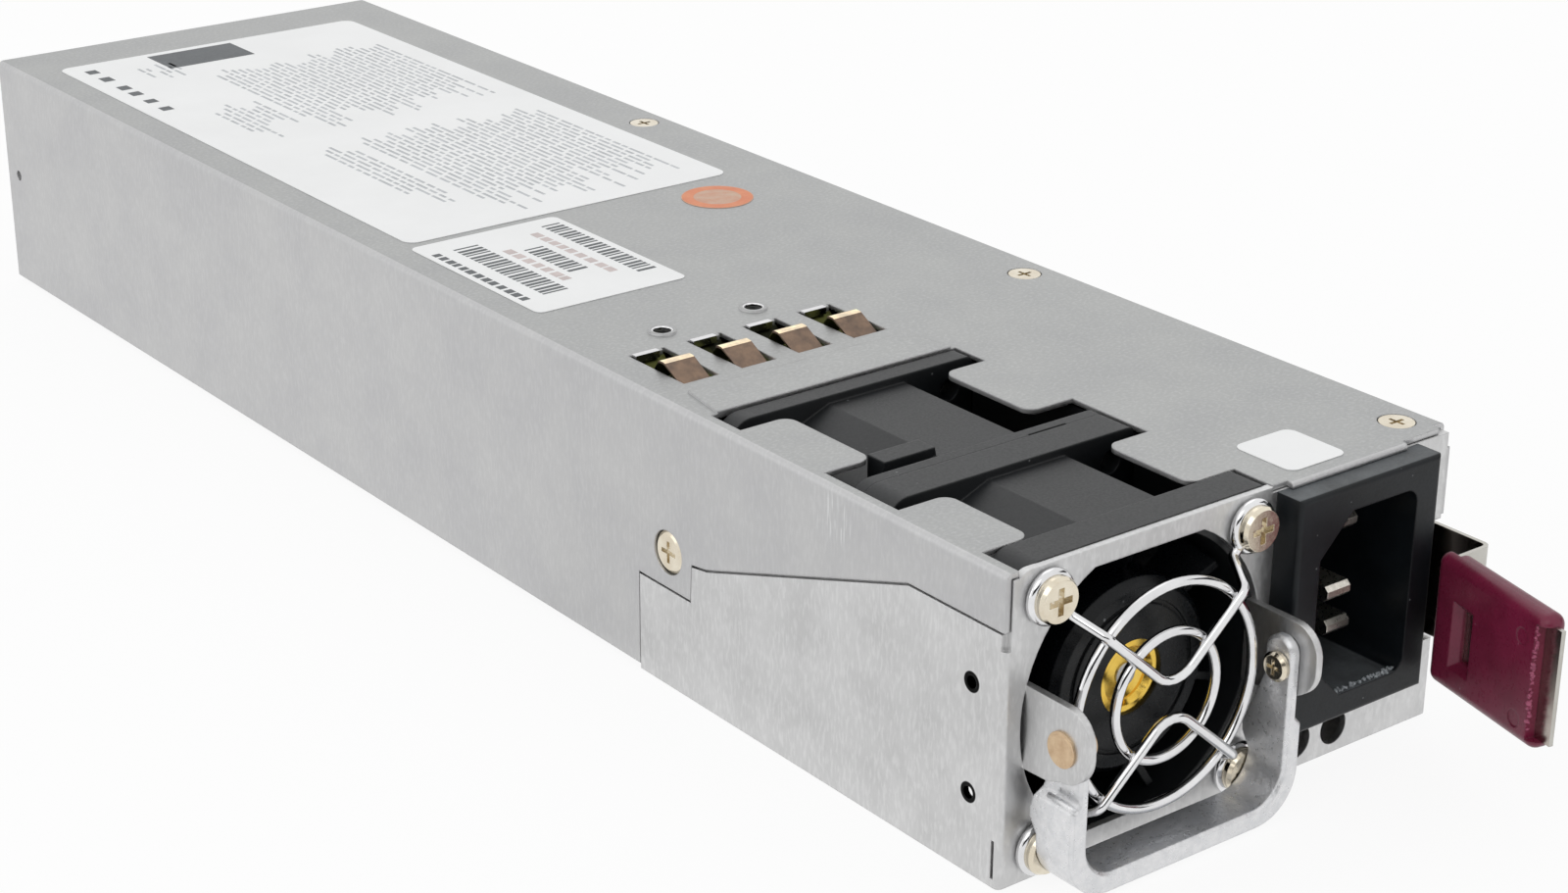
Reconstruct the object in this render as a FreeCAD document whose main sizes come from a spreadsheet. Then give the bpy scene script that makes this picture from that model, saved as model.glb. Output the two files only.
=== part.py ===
import FreeCAD, Part
import math
import os

import Sketcher
from FreeCAD import Placement, Rotation, Vector

# Hot swap server power supply: a slide-in unit with two fans in line, a mains inlet, a bail handle
# and a release latch on its front panel, and a card edge at its rear.
#
# Every piece is drawn in the datum of the front panel, in millimetres: X to the right as seen from
# the front, Y from the panel's front face towards the rear, Z up from the base. The placement of
# each body then brings the centre of the base to the origin.

SIZES = {
    # case
    "case_width": 73.5,
    "case_height": 40.0,
    "case_length": 265.0,
    "chassis_sheet": 0.8,
    "cover_sheet": 0.7,
    "panel_sheet": 1.0,
    "sheet_gap": 0.1,
    "cover_bend": 0.9,
    "seam_position": 71.3,
    "seam_gap": 0.35,
    # fans and their opening
    "fan_axis_across": -15.0,
    "fan_axis_height": 20.1,
    "fan_square": 39.8,
    "fan_depth": 28.0,
    "fan_bore_radius": 18.6,
    "fan_hole_pitch": 32.0,
    "fan_hole_radius": 1.75,
    "opening_radius": 19.2,
    "opening_flat": 17.15,
    "hub_radius": 12.4,
    "blade_tip_radius": 18.1,
    "boss_radius": 4.8,
    "shaft_radius": 1.5,
    "bearing_clearance": 0.05,
    "bearing_radius": 2.7,
    # cut-out in the cover over the fans
    "cutout_left": -35.0,
    "cutout_right": 5.0,
    "cutout_rear": 57.7,
    "cutout_tab": 7.4,
    # wire guard
    "guard_wire": 1.3,
    "guard_ring_large": 14.2,
    "guard_ring_small": 8.05,
    "guard_ring_stand": 3.75,
    "guard_leg_stand": 4.9,
    "guard_eyelet": 2.85,
    # mains inlet
    "inlet_across": 17.9,
    "inlet_height": 23.35,
    "bezel_width": 24.7,
    "bezel_height": 31.5,
    "bezel_depth": 4.0,
    "socket_width": 16.7,
    "socket_height": 24.6,
    "socket_depth": 17.0,
    "socket_chamfer": 5.2,
    "blade_width": 4.0,
    "blade_thickness": 2.0,
    "blade_pitch": 7.0,
    # bail handle
    "pivot_forward": 6.4,
    "pivot_height": 20.2,
    "pivot_radius": 1.5,
    "ear_spread": 18.6,
    "ear_sheet": 1.0,
    "handle_front": 8.5,
    "handle_bottom": 0.3,
    "handle_bar": 2.6,
    # release latch
    "latch_low": 11.3,
    "latch_high": 26.6,
    "leaf_sheet": 0.6,
    "leaf_face": 36.55,
    "leaf_reach": 7.9,
    "tongue_length": 20.8,
    "grip_length": 19.6,
    "grip_tail": 2.0,
    "grip_tilt": 13.5,
    "grip_thickness": 3.6,
    # cover details
    "finger_pitch": 9.28,
    "finger_width": 4.7,
    "slot_width": 5.7,
    "slot_front": 68.4,
    "slot_rear": 80.2,
    # board and its parts
    "board_height": 5.0,
    "board_sheet": 1.6,
    "edge_reach": 9.0,
    "edge_width": 52.0,
}

doc = FreeCAD.newDocument("hot_swap_power_supply")
sheet = doc.addObject("Spreadsheet::Sheet", "Sizes")


class Size:
    """A length that knows both its number and the sheet expression that drives it."""

    def __init__(self, number, formula):
        self.number = number
        self.formula = formula

    def __add__(self, other):
        return combine(self, "+", other)

    def __radd__(self, other):
        return combine(other, "+", self)

    def __sub__(self, other):
        return combine(self, "-", other)

    def __rsub__(self, other):
        return combine(other, "-", self)

    def __mul__(self, other):
        return combine(self, "*", other)

    def __rmul__(self, other):
        return combine(other, "*", self)

    def __truediv__(self, other):
        return combine(self, "/", other)

    def __neg__(self):
        return combine(0.0, "-", self)


def number_of(value):
    """The plain number of a Size or a number."""
    return value.number if isinstance(value, Size) else float(value)


def formula_of(value):
    """The expression text of a Size or a number."""
    return value.formula if isinstance(value, Size) else repr(float(value))


def combine(left, sign, right):
    """A new Size from two values and one of the four signs."""
    a = number_of(left)
    b = number_of(right)
    results = {"+": a + b, "-": a - b, "*": a * b, "/": a / b if b else 0.0}
    return Size(results[sign], f"({formula_of(left)} {sign} {formula_of(right)})")


def write_sheet():
    """Fill the spreadsheet and return its cells as Sizes by name."""
    cells = {}
    for row, (name, value) in enumerate(SIZES.items(), start=1):
        sheet.set(f"A{row}", name)
        sheet.set(f"B{row}", str(value))
        sheet.setAlias(f"B{row}", name)
        cells[name] = Size(value, f"Sizes.{name}")
    return cells


S = write_sheet()
doc.recompute()

HALF_WIDTH = S["case_width"] / 2
WALL_FACE = HALF_WIDTH - S["chassis_sheet"]
COVER_TOP = S["case_height"]
COVER_UNDERSIDE = COVER_TOP - S["cover_sheet"]
FAN_X = S["fan_axis_across"]
FAN_Z = S["fan_axis_height"]
HALF_FAN = S["fan_square"] / 2
HALF_PITCH = S["fan_hole_pitch"] / 2
BOARD_TOP = S["board_height"] + S["board_sheet"]
FULL_TURN = 360.0
WIRE_SIDES = 8


def bind(thing, prop, value):
    """Set a property to a value, through an expression where the sheet drives it."""
    if isinstance(value, Size):
        thing.setExpression(prop, value.formula)
    else:
        setattr(thing, prop, float(value))


# ---------------------------------------------------------------------------------------------
# Outlines. A loop is a list of corners (u, v) or (u, v, radius); a radius makes the edge that
# starts at that corner an arc, turning left where it is positive and right where it is negative.
# A circle is ("circle", u, v, radius).


def rectangle(u_low, v_low, u_high, v_high):
    return [(u_low, v_low), (u_high, v_low), (u_high, v_high), (u_low, v_high)]


def circle(u, v, radius):
    return ("circle", u, v, radius)


def regular(u, v, reach, sides, turn=0.0):
    """A regular polygon whose corners lie at reach from its centre."""
    corners = []
    for index in range(sides):
        angle = math.radians(turn + FULL_TURN * index / sides)
        corners.append((u + reach * math.cos(angle), v + reach * math.sin(angle)))
    return corners


def rounded(loop, radius, corners):
    """Replace the corners with these indices by arcs, for outlines with square corners."""
    result = []
    count = len(loop)
    r = number_of(radius)
    for index, corner in enumerate(loop):
        if index not in corners:
            result.append(corner)
            continue
        u, v = corner[0], corner[1]
        before = loop[index - 1]
        after = loop[(index + 1) % count]
        u_in = sign_of(number_of(before[0]) - number_of(u))
        v_in = sign_of(number_of(before[1]) - number_of(v))
        u_out = sign_of(number_of(after[0]) - number_of(u))
        v_out = sign_of(number_of(after[1]) - number_of(v))
        turn = 1.0 if (-u_in) * v_out - (-v_in) * u_out > 0 else -1.0
        result.append((u + r * u_in, v + r * v_in, turn * r))
        result.append((u + r * u_out, v + r * v_out))
    return result


def sign_of(value):
    return 0.0 if abs(value) < 1e-9 else math.copysign(1.0, value)


def constrain_point(sketch, geometry, point, u, v):
    """Pin one point of a sketch with two driving distances from its origin."""
    for kind, value in (("DistanceX", u), ("DistanceY", v)):
        index = sketch.addConstraint(Sketcher.Constraint(kind, geometry, point, number_of(value)))
        if isinstance(value, Size):
            sketch.setExpression(f"Constraints[{index}]", value.formula)


def constrain_radius(sketch, geometry, radius):
    index = sketch.addConstraint(Sketcher.Constraint("Radius", geometry, abs(number_of(radius))))
    if isinstance(radius, Size):
        sketch.setExpression(f"Constraints[{index}]", radius.formula)


def draw_circle(sketch, u, v, radius):
    centre = Vector(number_of(u), number_of(v), 0)
    edge = sketch.addGeometry(Part.Circle(centre, Vector(0, 0, 1), number_of(radius)), False)
    constrain_point(sketch, edge, 3, u, v)
    constrain_radius(sketch, edge, radius)


def arc_between(start, end, radius):
    """The arc from start to end, always counter-clockwise as a sketch keeps it."""
    chord = end - start
    middle = (start + end) * 0.5
    left = Vector(-chord.y, chord.x, 0).normalize() * math.copysign(1.0, radius)
    drop = math.sqrt(max(radius * radius - chord.Length * chord.Length / 4, 0.0))
    centre = middle + left * drop
    first, last = (start, end) if radius > 0 else (end, start)
    angle_first = math.atan2(first.y - centre.y, first.x - centre.x)
    angle_last = math.atan2(last.y - centre.y, last.x - centre.x)
    if angle_last <= angle_first:
        angle_last += 2 * math.pi
    round_edge = Part.Circle(centre, Vector(0, 0, 1), abs(radius))
    return Part.ArcOfCircle(round_edge, angle_first, angle_last)


def draw_loop(sketch, loop):
    """Draw one closed loop and constrain every corner of it."""
    points = [Vector(number_of(corner[0]), number_of(corner[1]), 0) for corner in loop]
    ends = []
    for index, corner in enumerate(loop):
        start = points[index]
        end = points[(index + 1) % len(loop)]
        if len(corner) == 3:
            radius = number_of(corner[2])
            edge = sketch.addGeometry(arc_between(start, end, radius), False)
            constrain_radius(sketch, edge, corner[2])
            ends.append((edge, 1, 2) if radius > 0 else (edge, 2, 1))
        else:
            edge = sketch.addGeometry(Part.LineSegment(start, end), False)
            ends.append((edge, 1, 2))
    for index, (edge, first, last) in enumerate(ends):
        following, following_first, _ = ends[(index + 1) % len(ends)]
        sketch.addConstraint(Sketcher.Constraint("Coincident", edge, last, following, following_first))
        constrain_point(sketch, edge, first, loop[index][0], loop[index][1])


# ---------------------------------------------------------------------------------------------
# Sub-parts


class SubPart:
    """A PartDesign body and the features that it is made of."""

    def __init__(self, label, x=0.0, y=0.0, z=0.0, turn=None):
        self.body = doc.addObject("PartDesign::Body", label)
        self.body.Label = label
        self.body.AllowCompound = True
        self.roles = {item.Role: item for item in self.body.Origin.OriginFeatures}
        place(self.body, x, y, z, turn)

    def sketch(self, name, plane, at, *loops):
        """A sketch on an origin plane, moved to the coordinate 'at' along that plane's axis."""
        drawing = self.body.newObject("Sketcher::SketchObject", f"{name}_sketch")
        drawing.AttachmentSupport = [(self.roles[f"{plane}_Plane"], "")]
        drawing.MapMode = "FlatFace"
        offset = -at if plane == "XZ" else at
        drawing.AttachmentOffset = Placement(Vector(0, 0, number_of(offset)), Rotation())
        if isinstance(offset, Size):
            drawing.setExpression("AttachmentOffset.Base.z", offset.formula)
        for loop in loops:
            if loop[0] == "circle":
                draw_circle(drawing, *loop[1:])
            else:
                draw_loop(drawing, loop)
        return drawing

    def pad(self, name, plane, low, high, *loops):
        """Add a prism over loops, from low to high along the plane's axis."""
        feature = self.body.newObject("PartDesign::Pad", name)
        feature.Profile = self.sketch(name, plane, low, *loops)
        bind(feature, "Length", high - low)
        feature.Reversed = plane == "XZ"
        feature.AllowMultiFace = True
        self.body.Tip = feature
        return feature

    def pocket(self, name, plane, low, high, *loops):
        """Remove a prism over loops, from low to high along the plane's axis."""
        feature = self.body.newObject("PartDesign::Pocket", name)
        feature.Profile = self.sketch(name, plane, low, *loops)
        bind(feature, "Length", high - low)
        feature.Reversed = plane != "XZ"
        self.body.Tip = feature
        return feature

    def turned(self, kind, name, plane, axis, *loops):
        """A Revolution or a Groove through a full turn about one of the sketch's own axes."""
        feature = self.body.newObject(f"PartDesign::{kind}", name)
        drawing = self.sketch(name, plane, 0.0, *loops)
        feature.Profile = drawing
        feature.ReferenceAxis = (drawing, [axis])
        feature.Angle = FULL_TURN
        self.body.Tip = feature
        return feature

    def loft(self, name, plane, sections):
        """A solid through outlines given as (coordinate along the plane's axis, loop)."""
        drawings = [self.sketch(f"{name}_{index}", plane, at, loop)
                    for index, (at, loop) in enumerate(sections)]
        feature = self.body.newObject("PartDesign::AdditiveLoft", name)
        feature.Profile = drawings[0]
        feature.Sections = drawings[1:]
        feature.Ruled = True
        self.body.Tip = feature
        return feature

    def fillet(self, name, radius, wanted, kind="Fillet"):
        """Round (or chamfer) the edges for which wanted(edge, middle) holds."""
        doc.recompute()
        base = self.body.Tip
        names = [f"Edge{index}" for index, edge in enumerate(base.Shape.Edges, start=1)
                 if wanted(edge, edge.CenterOfMass)]
        feature = self.body.newObject(f"PartDesign::{kind}", name)
        feature.Base = (base, names)
        bind(feature, "Radius" if kind == "Fillet" else "Size", radius)
        self.body.Tip = feature
        return feature

    def repeat(self, name, originals, axis, reach, count, axis_two=None, reach_two=0.0, count_two=1):
        """A linear pattern of features along one origin axis, or two."""
        feature = self.body.newObject("PartDesign::LinearPattern", name)
        feature.Originals = originals
        feature.Direction = (self.roles[f"{axis}_Axis"], [""])
        feature.Occurrences = count
        bind(feature, "Length", reach)
        if axis_two:
            feature.Direction2 = (self.roles[f"{axis_two}_Axis"], [""])
            feature.Occurrences2 = count_two
            bind(feature, "Length2", reach_two)
        self.body.Tip = feature
        return feature

    def around(self, name, originals, axis, count):
        """A polar pattern of features through a full turn about an origin axis."""
        feature = self.body.newObject("PartDesign::PolarPattern", name)
        feature.Originals = originals
        feature.Axis = (self.roles[f"{axis}_Axis"], [""])
        feature.Angle = FULL_TURN
        feature.Occurrences = count
        self.body.Tip = feature
        return feature


def place(thing, x=0.0, y=0.0, z=0.0, turn=None):
    """Place a sub-part in the panel's datum, then shift it so that the base centre is the origin."""
    shifted = y - S["case_length"] / 2
    base = Vector(number_of(x), number_of(shifted), number_of(z))
    thing.Placement = Placement(base, turn or Rotation())
    for axis, value in (("x", x), ("y", shifted), ("z", z)):
        if isinstance(value, Size):
            thing.setExpression(f"Placement.Base.{axis}", value.formula)


def along_x(edge):
    return abs(edge.tangentAt(edge.FirstParameter).x) > 0.999


def along_y(edge):
    return abs(edge.tangentAt(edge.FirstParameter).y) > 0.999


def along_z(edge):
    return abs(edge.tangentAt(edge.FirstParameter).z) > 0.999


def near(value, target, reach=0.05):
    return abs(value - number_of(target)) < reach


FORWARD = Rotation(Vector(1, 0, 0), 90.0)     # local +Z points to the front, world -Y
OUT_LEFT = Rotation(Vector(0, 1, 0), -90.0)   # local +Z points to world -X
OUT_RIGHT = Rotation(Vector(0, 1, 0), 90.0)   # local +Z points to world +X


# ---------------------------------------------------------------------------------------------
# Sheet metal: chassis, cover and rear panel

# The upper edge of the flush outer plate on each side, as (y, z) from front to seam. Above it the
# cover's side hangs over the chassis wall; behind the seam the cover reaches almost to the base.
SIDE_STEP_LEFT = [(17.1, 32.4), (56.4, 19.4), (59.6, 18.9), (59.9, 13.8)]
SIDE_STEP_RIGHT = [(31.8, 27.6), (56.4, 19.4), (59.6, 18.9), (59.9, 13.8)]
PLATE_FRONT = 0.9
COVER_SCREW_X = 32.0
COVER_SCREWS = (5.1, 74.2, 167.2)
LATCH_PIVOT_Y = 34.0
LATCH_RIVET_Z = 14.9
LATCH_RIVET_PITCH = 6.4
WINDOW_REAR = 24.0
WINDOW_LOW = 10.9
WINDOW_HIGH = 27.6


def outer_plate(part, name, x_low, x_high, step):
    """The joggled-out plate of one side, in line with the cover, from the panel to the seam."""
    first = step[0]
    rear = S["seam_position"] - 0.1
    loop = [(PLATE_FRONT, 0.0), (rear, 0.0), (rear, step[-1][1])]
    loop += list(reversed(step))
    loop += [(PLATE_FRONT, first[1])]
    part.pad(name, "YZ", x_low, x_high, loop)


def wall_relief(part, name, x_low, x_high, step):
    """Clear the inner wall behind the outer plate, all but the margin where the two are joined."""
    margin = 1.3
    rear = S["seam_position"] - margin
    loop = [(PLATE_FRONT + margin, 0.9), (rear, 0.9), (rear, step[-1][1] - margin)]
    loop += [(step[-1][0] - margin, step[-1][1] - margin), (step[-2][0] - margin, step[-2][1] - margin)]
    loop += [(step[0][0], step[0][1] - margin), (PLATE_FRONT + margin, step[0][1] - margin)]
    part.pocket(name, "YZ", x_low, x_high, loop)


def panel_outline():
    """Front panel: full width low down, stepped in above, with the latch notch on the right."""
    top = COVER_UNDERSIDE - S["sheet_gap"]
    tongue = S["case_height"] - 0.1
    left = -(HALF_WIDTH - 1.25)
    notch = HALF_WIDTH - 3.4
    loop = [(-HALF_WIDTH, 0.0), (HALF_WIDTH, 0.0), (HALF_WIDTH, WINDOW_LOW), (notch, WINDOW_LOW),
            (notch, WINDOW_HIGH), (WALL_FACE, WINDOW_HIGH), (WALL_FACE, top), (4.8, top),
            (4.8, tongue), (left, tongue), (left, 30.4), (-HALF_WIDTH, 30.4)]
    return rounded(loop, 2.0, [9])


def opening_outline():
    """Fan opening: a circle cut flat above and below."""
    half = math.sqrt(SIZES["opening_radius"] ** 2 - SIZES["opening_flat"] ** 2)
    flat = S["opening_flat"]
    radius = S["opening_radius"]
    return [(FAN_X - half, FAN_Z + 0.2 - flat), (FAN_X + half, FAN_Z + 0.2 - flat, radius),
            (FAN_X + half, FAN_Z + 0.2 + flat), (FAN_X - half, FAN_Z + 0.2 + flat, radius)]


def ear_outline():
    """Side view of a handle ear, with its root in the panel."""
    y = -S["pivot_forward"]
    z = S["pivot_height"]
    root = S["panel_sheet"]
    return [(root, z - 5.2), (root, z + 5.4), (y - 0.5, z + 5.4, 3.9), (y - 4.4, z + 1.5),
            (y - 4.4, z + 0.2, 4.4), (y, z - 4.2), (y + 2.4, z - 5.0)]


def make_chassis():
    part = SubPart("chassis")
    face = WALL_FACE
    t = S["chassis_sheet"]
    top = COVER_UNDERSIDE - S["sheet_gap"]
    rear = S["case_length"]
    tray = [(-face, top), (-face, 0.0), (face, 0.0), (face, top),
            (face - t, top), (face - t, t), (-face + t, t), (-face + t, top)]
    part.pad("tray", "XZ", 0.0, rear, tray)
    part.pad("panel", "XZ", 0.0, S["panel_sheet"], panel_outline())
    outer_plate(part, "left_plate", -HALF_WIDTH, -WALL_FACE, SIDE_STEP_LEFT)
    outer_plate(part, "right_plate", WALL_FACE, HALF_WIDTH, SIDE_STEP_RIGHT)
    wall_relief(part, "left_relief", -face, -face + t, SIDE_STEP_LEFT)
    wall_relief(part, "right_relief", face - t, face, SIDE_STEP_RIGHT)
    seam = S["seam_position"] - 0.1
    part.pad("left_foot", "XY", 0.0, t, rectangle(-HALF_WIDTH, PLATE_FRONT, -face + t, seam))
    part.pad("right_foot", "XY", 0.0, t, rectangle(face - t, PLATE_FRONT, HALF_WIDTH, seam))
    part.pocket("fan_floor", "XY", -1.0, t + 1.0,
                rectangle(S["cutout_left"], S["panel_sheet"], S["cutout_right"], S["cutout_rear"]))
    part.pocket("latch_window", "YZ", HALF_WIDTH - 2.5, HALF_WIDTH + 1.0,
                rectangle(-1.0, WINDOW_LOW, WINDOW_REAR, WINDOW_HIGH))
    part.pocket("fan_opening", "XZ", -1.0, S["panel_sheet"] + 1.0, opening_outline())
    inlet_x = S["inlet_across"]
    inlet_z = S["inlet_height"]
    part.pocket("inlet_opening", "XZ", -1.0, S["panel_sheet"] + 1.0,
                rectangle(inlet_x - 11.2, inlet_z - 14.0, inlet_x + 11.2, inlet_z + 14.0))
    vent = part.pocket("vent", "XZ", -1.0, S["panel_sheet"] + 1.0, circle(12.5, 3.5, 2.3))
    part.repeat("vents", [vent], "X", 6.5, 2)
    hole = part.pocket("fan_screw_hole", "XZ", -1.0, S["panel_sheet"] + 1.0,
                       regular(FAN_X - HALF_PITCH, FAN_Z - HALF_PITCH, S["fan_hole_radius"], 12))
    part.repeat("fan_screw_holes", [hole], "X", S["fan_hole_pitch"], 2, "Z", S["fan_hole_pitch"], 2)
    for side, outer in (("left", FAN_X - S["ear_spread"]),
                        ("right", FAN_X + S["ear_spread"] - S["ear_sheet"])):
        inner = outer + S["ear_sheet"]
        part.pad(f"{side}_ear", "YZ", outer, inner, ear_outline())
        part.pocket(f"{side}_pivot_hole", "YZ", outer - 0.5, inner + 0.5,
                    circle(-S["pivot_forward"], S["pivot_height"], S["pivot_radius"]))
    for index, y in enumerate(COVER_SCREWS):
        tab_front = max(y - 6.0, 1.0)
        part.pad(f"screw_tab_{index}", "XY", top - t, top, rectangle(28.5, tab_front, face, y + 6.0))
        part.pocket(f"screw_tab_hole_{index}", "XY", top - 2.0, top + 1.0, circle(COVER_SCREW_X, y, 1.25))
    latch_hole = part.pocket("latch_rivet_hole", "YZ", HALF_WIDTH - 3.0, HALF_WIDTH + 1.0,
                             circle(LATCH_PIVOT_Y, LATCH_RIVET_Z, 1.3))
    part.repeat("latch_rivet_holes", [latch_hole], "Z", LATCH_RIVET_PITCH, 2)
    side_hole = part.pocket("side_hole", "YZ", -HALF_WIDTH - 1.0, -HALF_WIDTH + 2.0, circle(5.6, 10.5, 0.8))
    part.repeat("side_holes", [side_hole], "Z", 14.2, 2)
    part.pocket("side_screw_hole", "YZ", -HALF_WIDTH - 1.0, -HALF_WIDTH + 2.0, circle(64.8, 19.1, 1.55))
    part.pocket("corner_slit", "YZ", -HALF_WIDTH - 0.5, -HALF_WIDTH + 1.2, rectangle(0.9, 1.1, 1.4, 6.1))
    part.fillet("bend_edges", 0.75,
                lambda edge, middle: along_z(edge) and near(abs(middle.x), HALF_WIDTH, 0.01)
                and near(middle.y, 0.0, 0.01))
    return part


def tab_cutout():
    """The opening in the cover over the fans, with two tabs on each side that reach to the barrels."""
    left = S["cutout_left"]
    right = S["cutout_right"]
    tab = S["cutout_tab"]
    loop = [(left, -2.0)]
    for front, rear in ((6.6, 21.2), (35.0, 51.6)):
        loop += [(left, front), (left + tab, front), (left + tab, rear), (left, rear)]
    loop += [(left, S["cutout_rear"]), (right, S["cutout_rear"])]
    for rear, front in ((51.6, 35.0), (21.2, 6.6)):
        loop += [(right, rear), (right - tab + 0.1, rear), (right - tab + 0.1, front), (right, front)]
    loop += [(right, -2.0)]
    return rounded(loop, 1.8, [2, 3, 6, 7, 12, 13, 16, 17])


def cover_side_cut(part, name, x_low, x_high, step):
    """Cut one side of the cover to the stepped line that leaves the chassis plate in view."""
    gap = number_of(S["seam_gap"])
    seam = S["seam_position"] + 0.1
    loop = [(-2.0, -1.0), (seam, -1.0), (seam, step[-1][1] + gap)]
    loop += [(y + 0.1, z + gap) for y, z in reversed(step)]
    loop += [(-2.0, step[0][1] + gap)]
    part.pocket(name, "YZ", x_low, x_high, loop)


def make_cover():
    part = SubPart("top_cover")
    t = S["cover_sheet"]
    low = S["cover_sheet"]
    shell = [(-HALF_WIDTH, low), (-HALF_WIDTH + t, low), (-HALF_WIDTH + t, COVER_UNDERSIDE),
             (HALF_WIDTH - t, COVER_UNDERSIDE), (HALF_WIDTH - t, low), (HALF_WIDTH, low),
             (HALF_WIDTH, COVER_TOP), (-HALF_WIDTH, COVER_TOP)]
    part.pad("shell", "XZ", 0.3, S["case_length"], rounded(shell, S["cover_bend"], [6, 7]))
    part.pad("front_lip", "XZ", -0.7, 0.35, rectangle(7.45, COVER_UNDERSIDE - 0.1, 27.6, COVER_TOP))
    part.pocket("lip_clearance", "XZ", -0.05, 1.5, rectangle(7.0, COVER_UNDERSIDE - 1.0, 28.0, COVER_UNDERSIDE))
    cover_side_cut(part, "left_step", -HALF_WIDTH - 1.0, -HALF_WIDTH + 0.75, SIDE_STEP_LEFT)
    cover_side_cut(part, "right_step", HALF_WIDTH - 0.75, HALF_WIDTH + 1.0, SIDE_STEP_RIGHT)
    part.pocket("fan_cutout", "XY", COVER_UNDERSIDE - 0.5, COVER_TOP + 1.0, tab_cutout())
    slot_left = -31.4
    slot_right = slot_left + S["slot_width"]
    rear = S["slot_rear"]
    nick = 0.6
    slot = part.pocket("finger_slot", "XY", COVER_UNDERSIDE - 0.5, COVER_TOP + 1.0,
                       [(slot_left, S["slot_front"]), (slot_right, S["slot_front"]),
                        (slot_right, rear + nick), (slot_right - nick, rear + nick),
                        (slot_right - nick, rear), (slot_left + nick, rear),
                        (slot_left + nick, rear + nick), (slot_left, rear + nick)])
    part.repeat("finger_slots", [slot], "X", S["finger_pitch"] * 3, 4)
    raised = part.pad("raised_rim", "XY", COVER_TOP - 0.2, COVER_TOP + 0.3,
                      circle(-22.5, 85.7, 1.95), circle(-22.5, 85.7, 1.5))
    part.repeat("raised_rims", [raised], "X", 15.25, 2)
    rim_hole = part.pocket("rim_hole", "XY", COVER_UNDERSIDE - 0.5, COVER_TOP + 1.0,
                           circle(-22.5, 85.7, 1.5))
    part.repeat("rim_holes", [rim_hole], "X", 15.25, 2)
    part.pad("raised_band", "XY", COVER_TOP - 0.2, COVER_TOP + 0.3,
             [(-34.0, S["cutout_rear"]), (4.2, S["cutout_rear"]), (3.0, 65.6), (-32.8, 65.6)])
    for index, y in enumerate(COVER_SCREWS):
        part.pocket(f"top_screw_hole_{index}", "XY", COVER_UNDERSIDE - 0.5, COVER_TOP + 1.0,
                    circle(COVER_SCREW_X, y, 2.45))
    part.pocket("side_screw_hole", "YZ", -HALF_WIDTH - 1.0, -HALF_WIDTH + 0.75, circle(64.8, 19.1, 3.05))
    part.pocket("rear_side_hole", "YZ", -HALF_WIDTH - 1.0, -HALF_WIDTH + 0.75, circle(260.8, 20.2, 0.9))
    part.pocket("corner_relief", "XZ", -1.0, 1.5, rectangle(34.4, 37.0, HALF_WIDTH + 1.0, COVER_TOP + 1.0))
    part.fillet("lip_bend", 0.6,
                lambda edge, middle: along_x(edge) and near(middle.y, -0.7, 0.01)
                and near(middle.z, COVER_TOP, 0.01))
    return part


def make_rear_panel():
    part = SubPart("rear_panel")
    half = WALL_FACE - S["chassis_sheet"] - 0.1
    rear = S["case_length"]
    front = rear - S["chassis_sheet"]
    top = COVER_UNDERSIDE - S["sheet_gap"]
    part.pad("sheet", "XZ", front, rear, rectangle(-half, S["chassis_sheet"], half, top))
    part.pocket("edge_opening", "XZ", front - 1.0, rear + 1.0,
                rectangle(-S["edge_width"] / 2 - 1.0, BOARD_TOP - 3.6,
                          S["edge_width"] / 2 + 1.0, BOARD_TOP + 2.4))
    pitch = 5.4
    for name, x, z, count in (("even", -29.7, 14.4, 12), ("odd", -27.0, 19.08, 11)):
        cell = part.pocket(f"{name}_vent", "XZ", front - 1.0, rear + 1.0, regular(x, z, 2.5, 6, 30.0))
        part.repeat(f"{name}_vents", [cell], "X", pitch * (count - 1), count, "Z", 9.36 * 2, 3)
    return part


# ---------------------------------------------------------------------------------------------
# Fans


def barrel_outline():
    """Section of a fan barrel: flat sided, with a shallow shoulder at the upper left."""
    h = HALF_FAN
    crown = FAN_Z + h - 1.1
    return [(FAN_X - 4.2, crown), (FAN_X - 13.2, crown - 3.6), (FAN_X - h, FAN_Z + 8.3),
            (FAN_X - h, FAN_Z - 8.3), (FAN_X - 8.3, FAN_Z - h), (FAN_X + 8.3, FAN_Z - h),
            (FAN_X + h, FAN_Z - 8.3), (FAN_X + h, FAN_Z + 8.3), (FAN_X + 8.3, crown)]


def flange_outline():
    """Square end flange, with large corners on the left and small ones on the right."""
    h = HALF_FAN
    square = rectangle(FAN_X - h, FAN_Z - h, FAN_X + h, FAN_Z + h)
    return rounded(rounded(square, 3.5, [0, 3]), 1.2, [2, 3])


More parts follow.
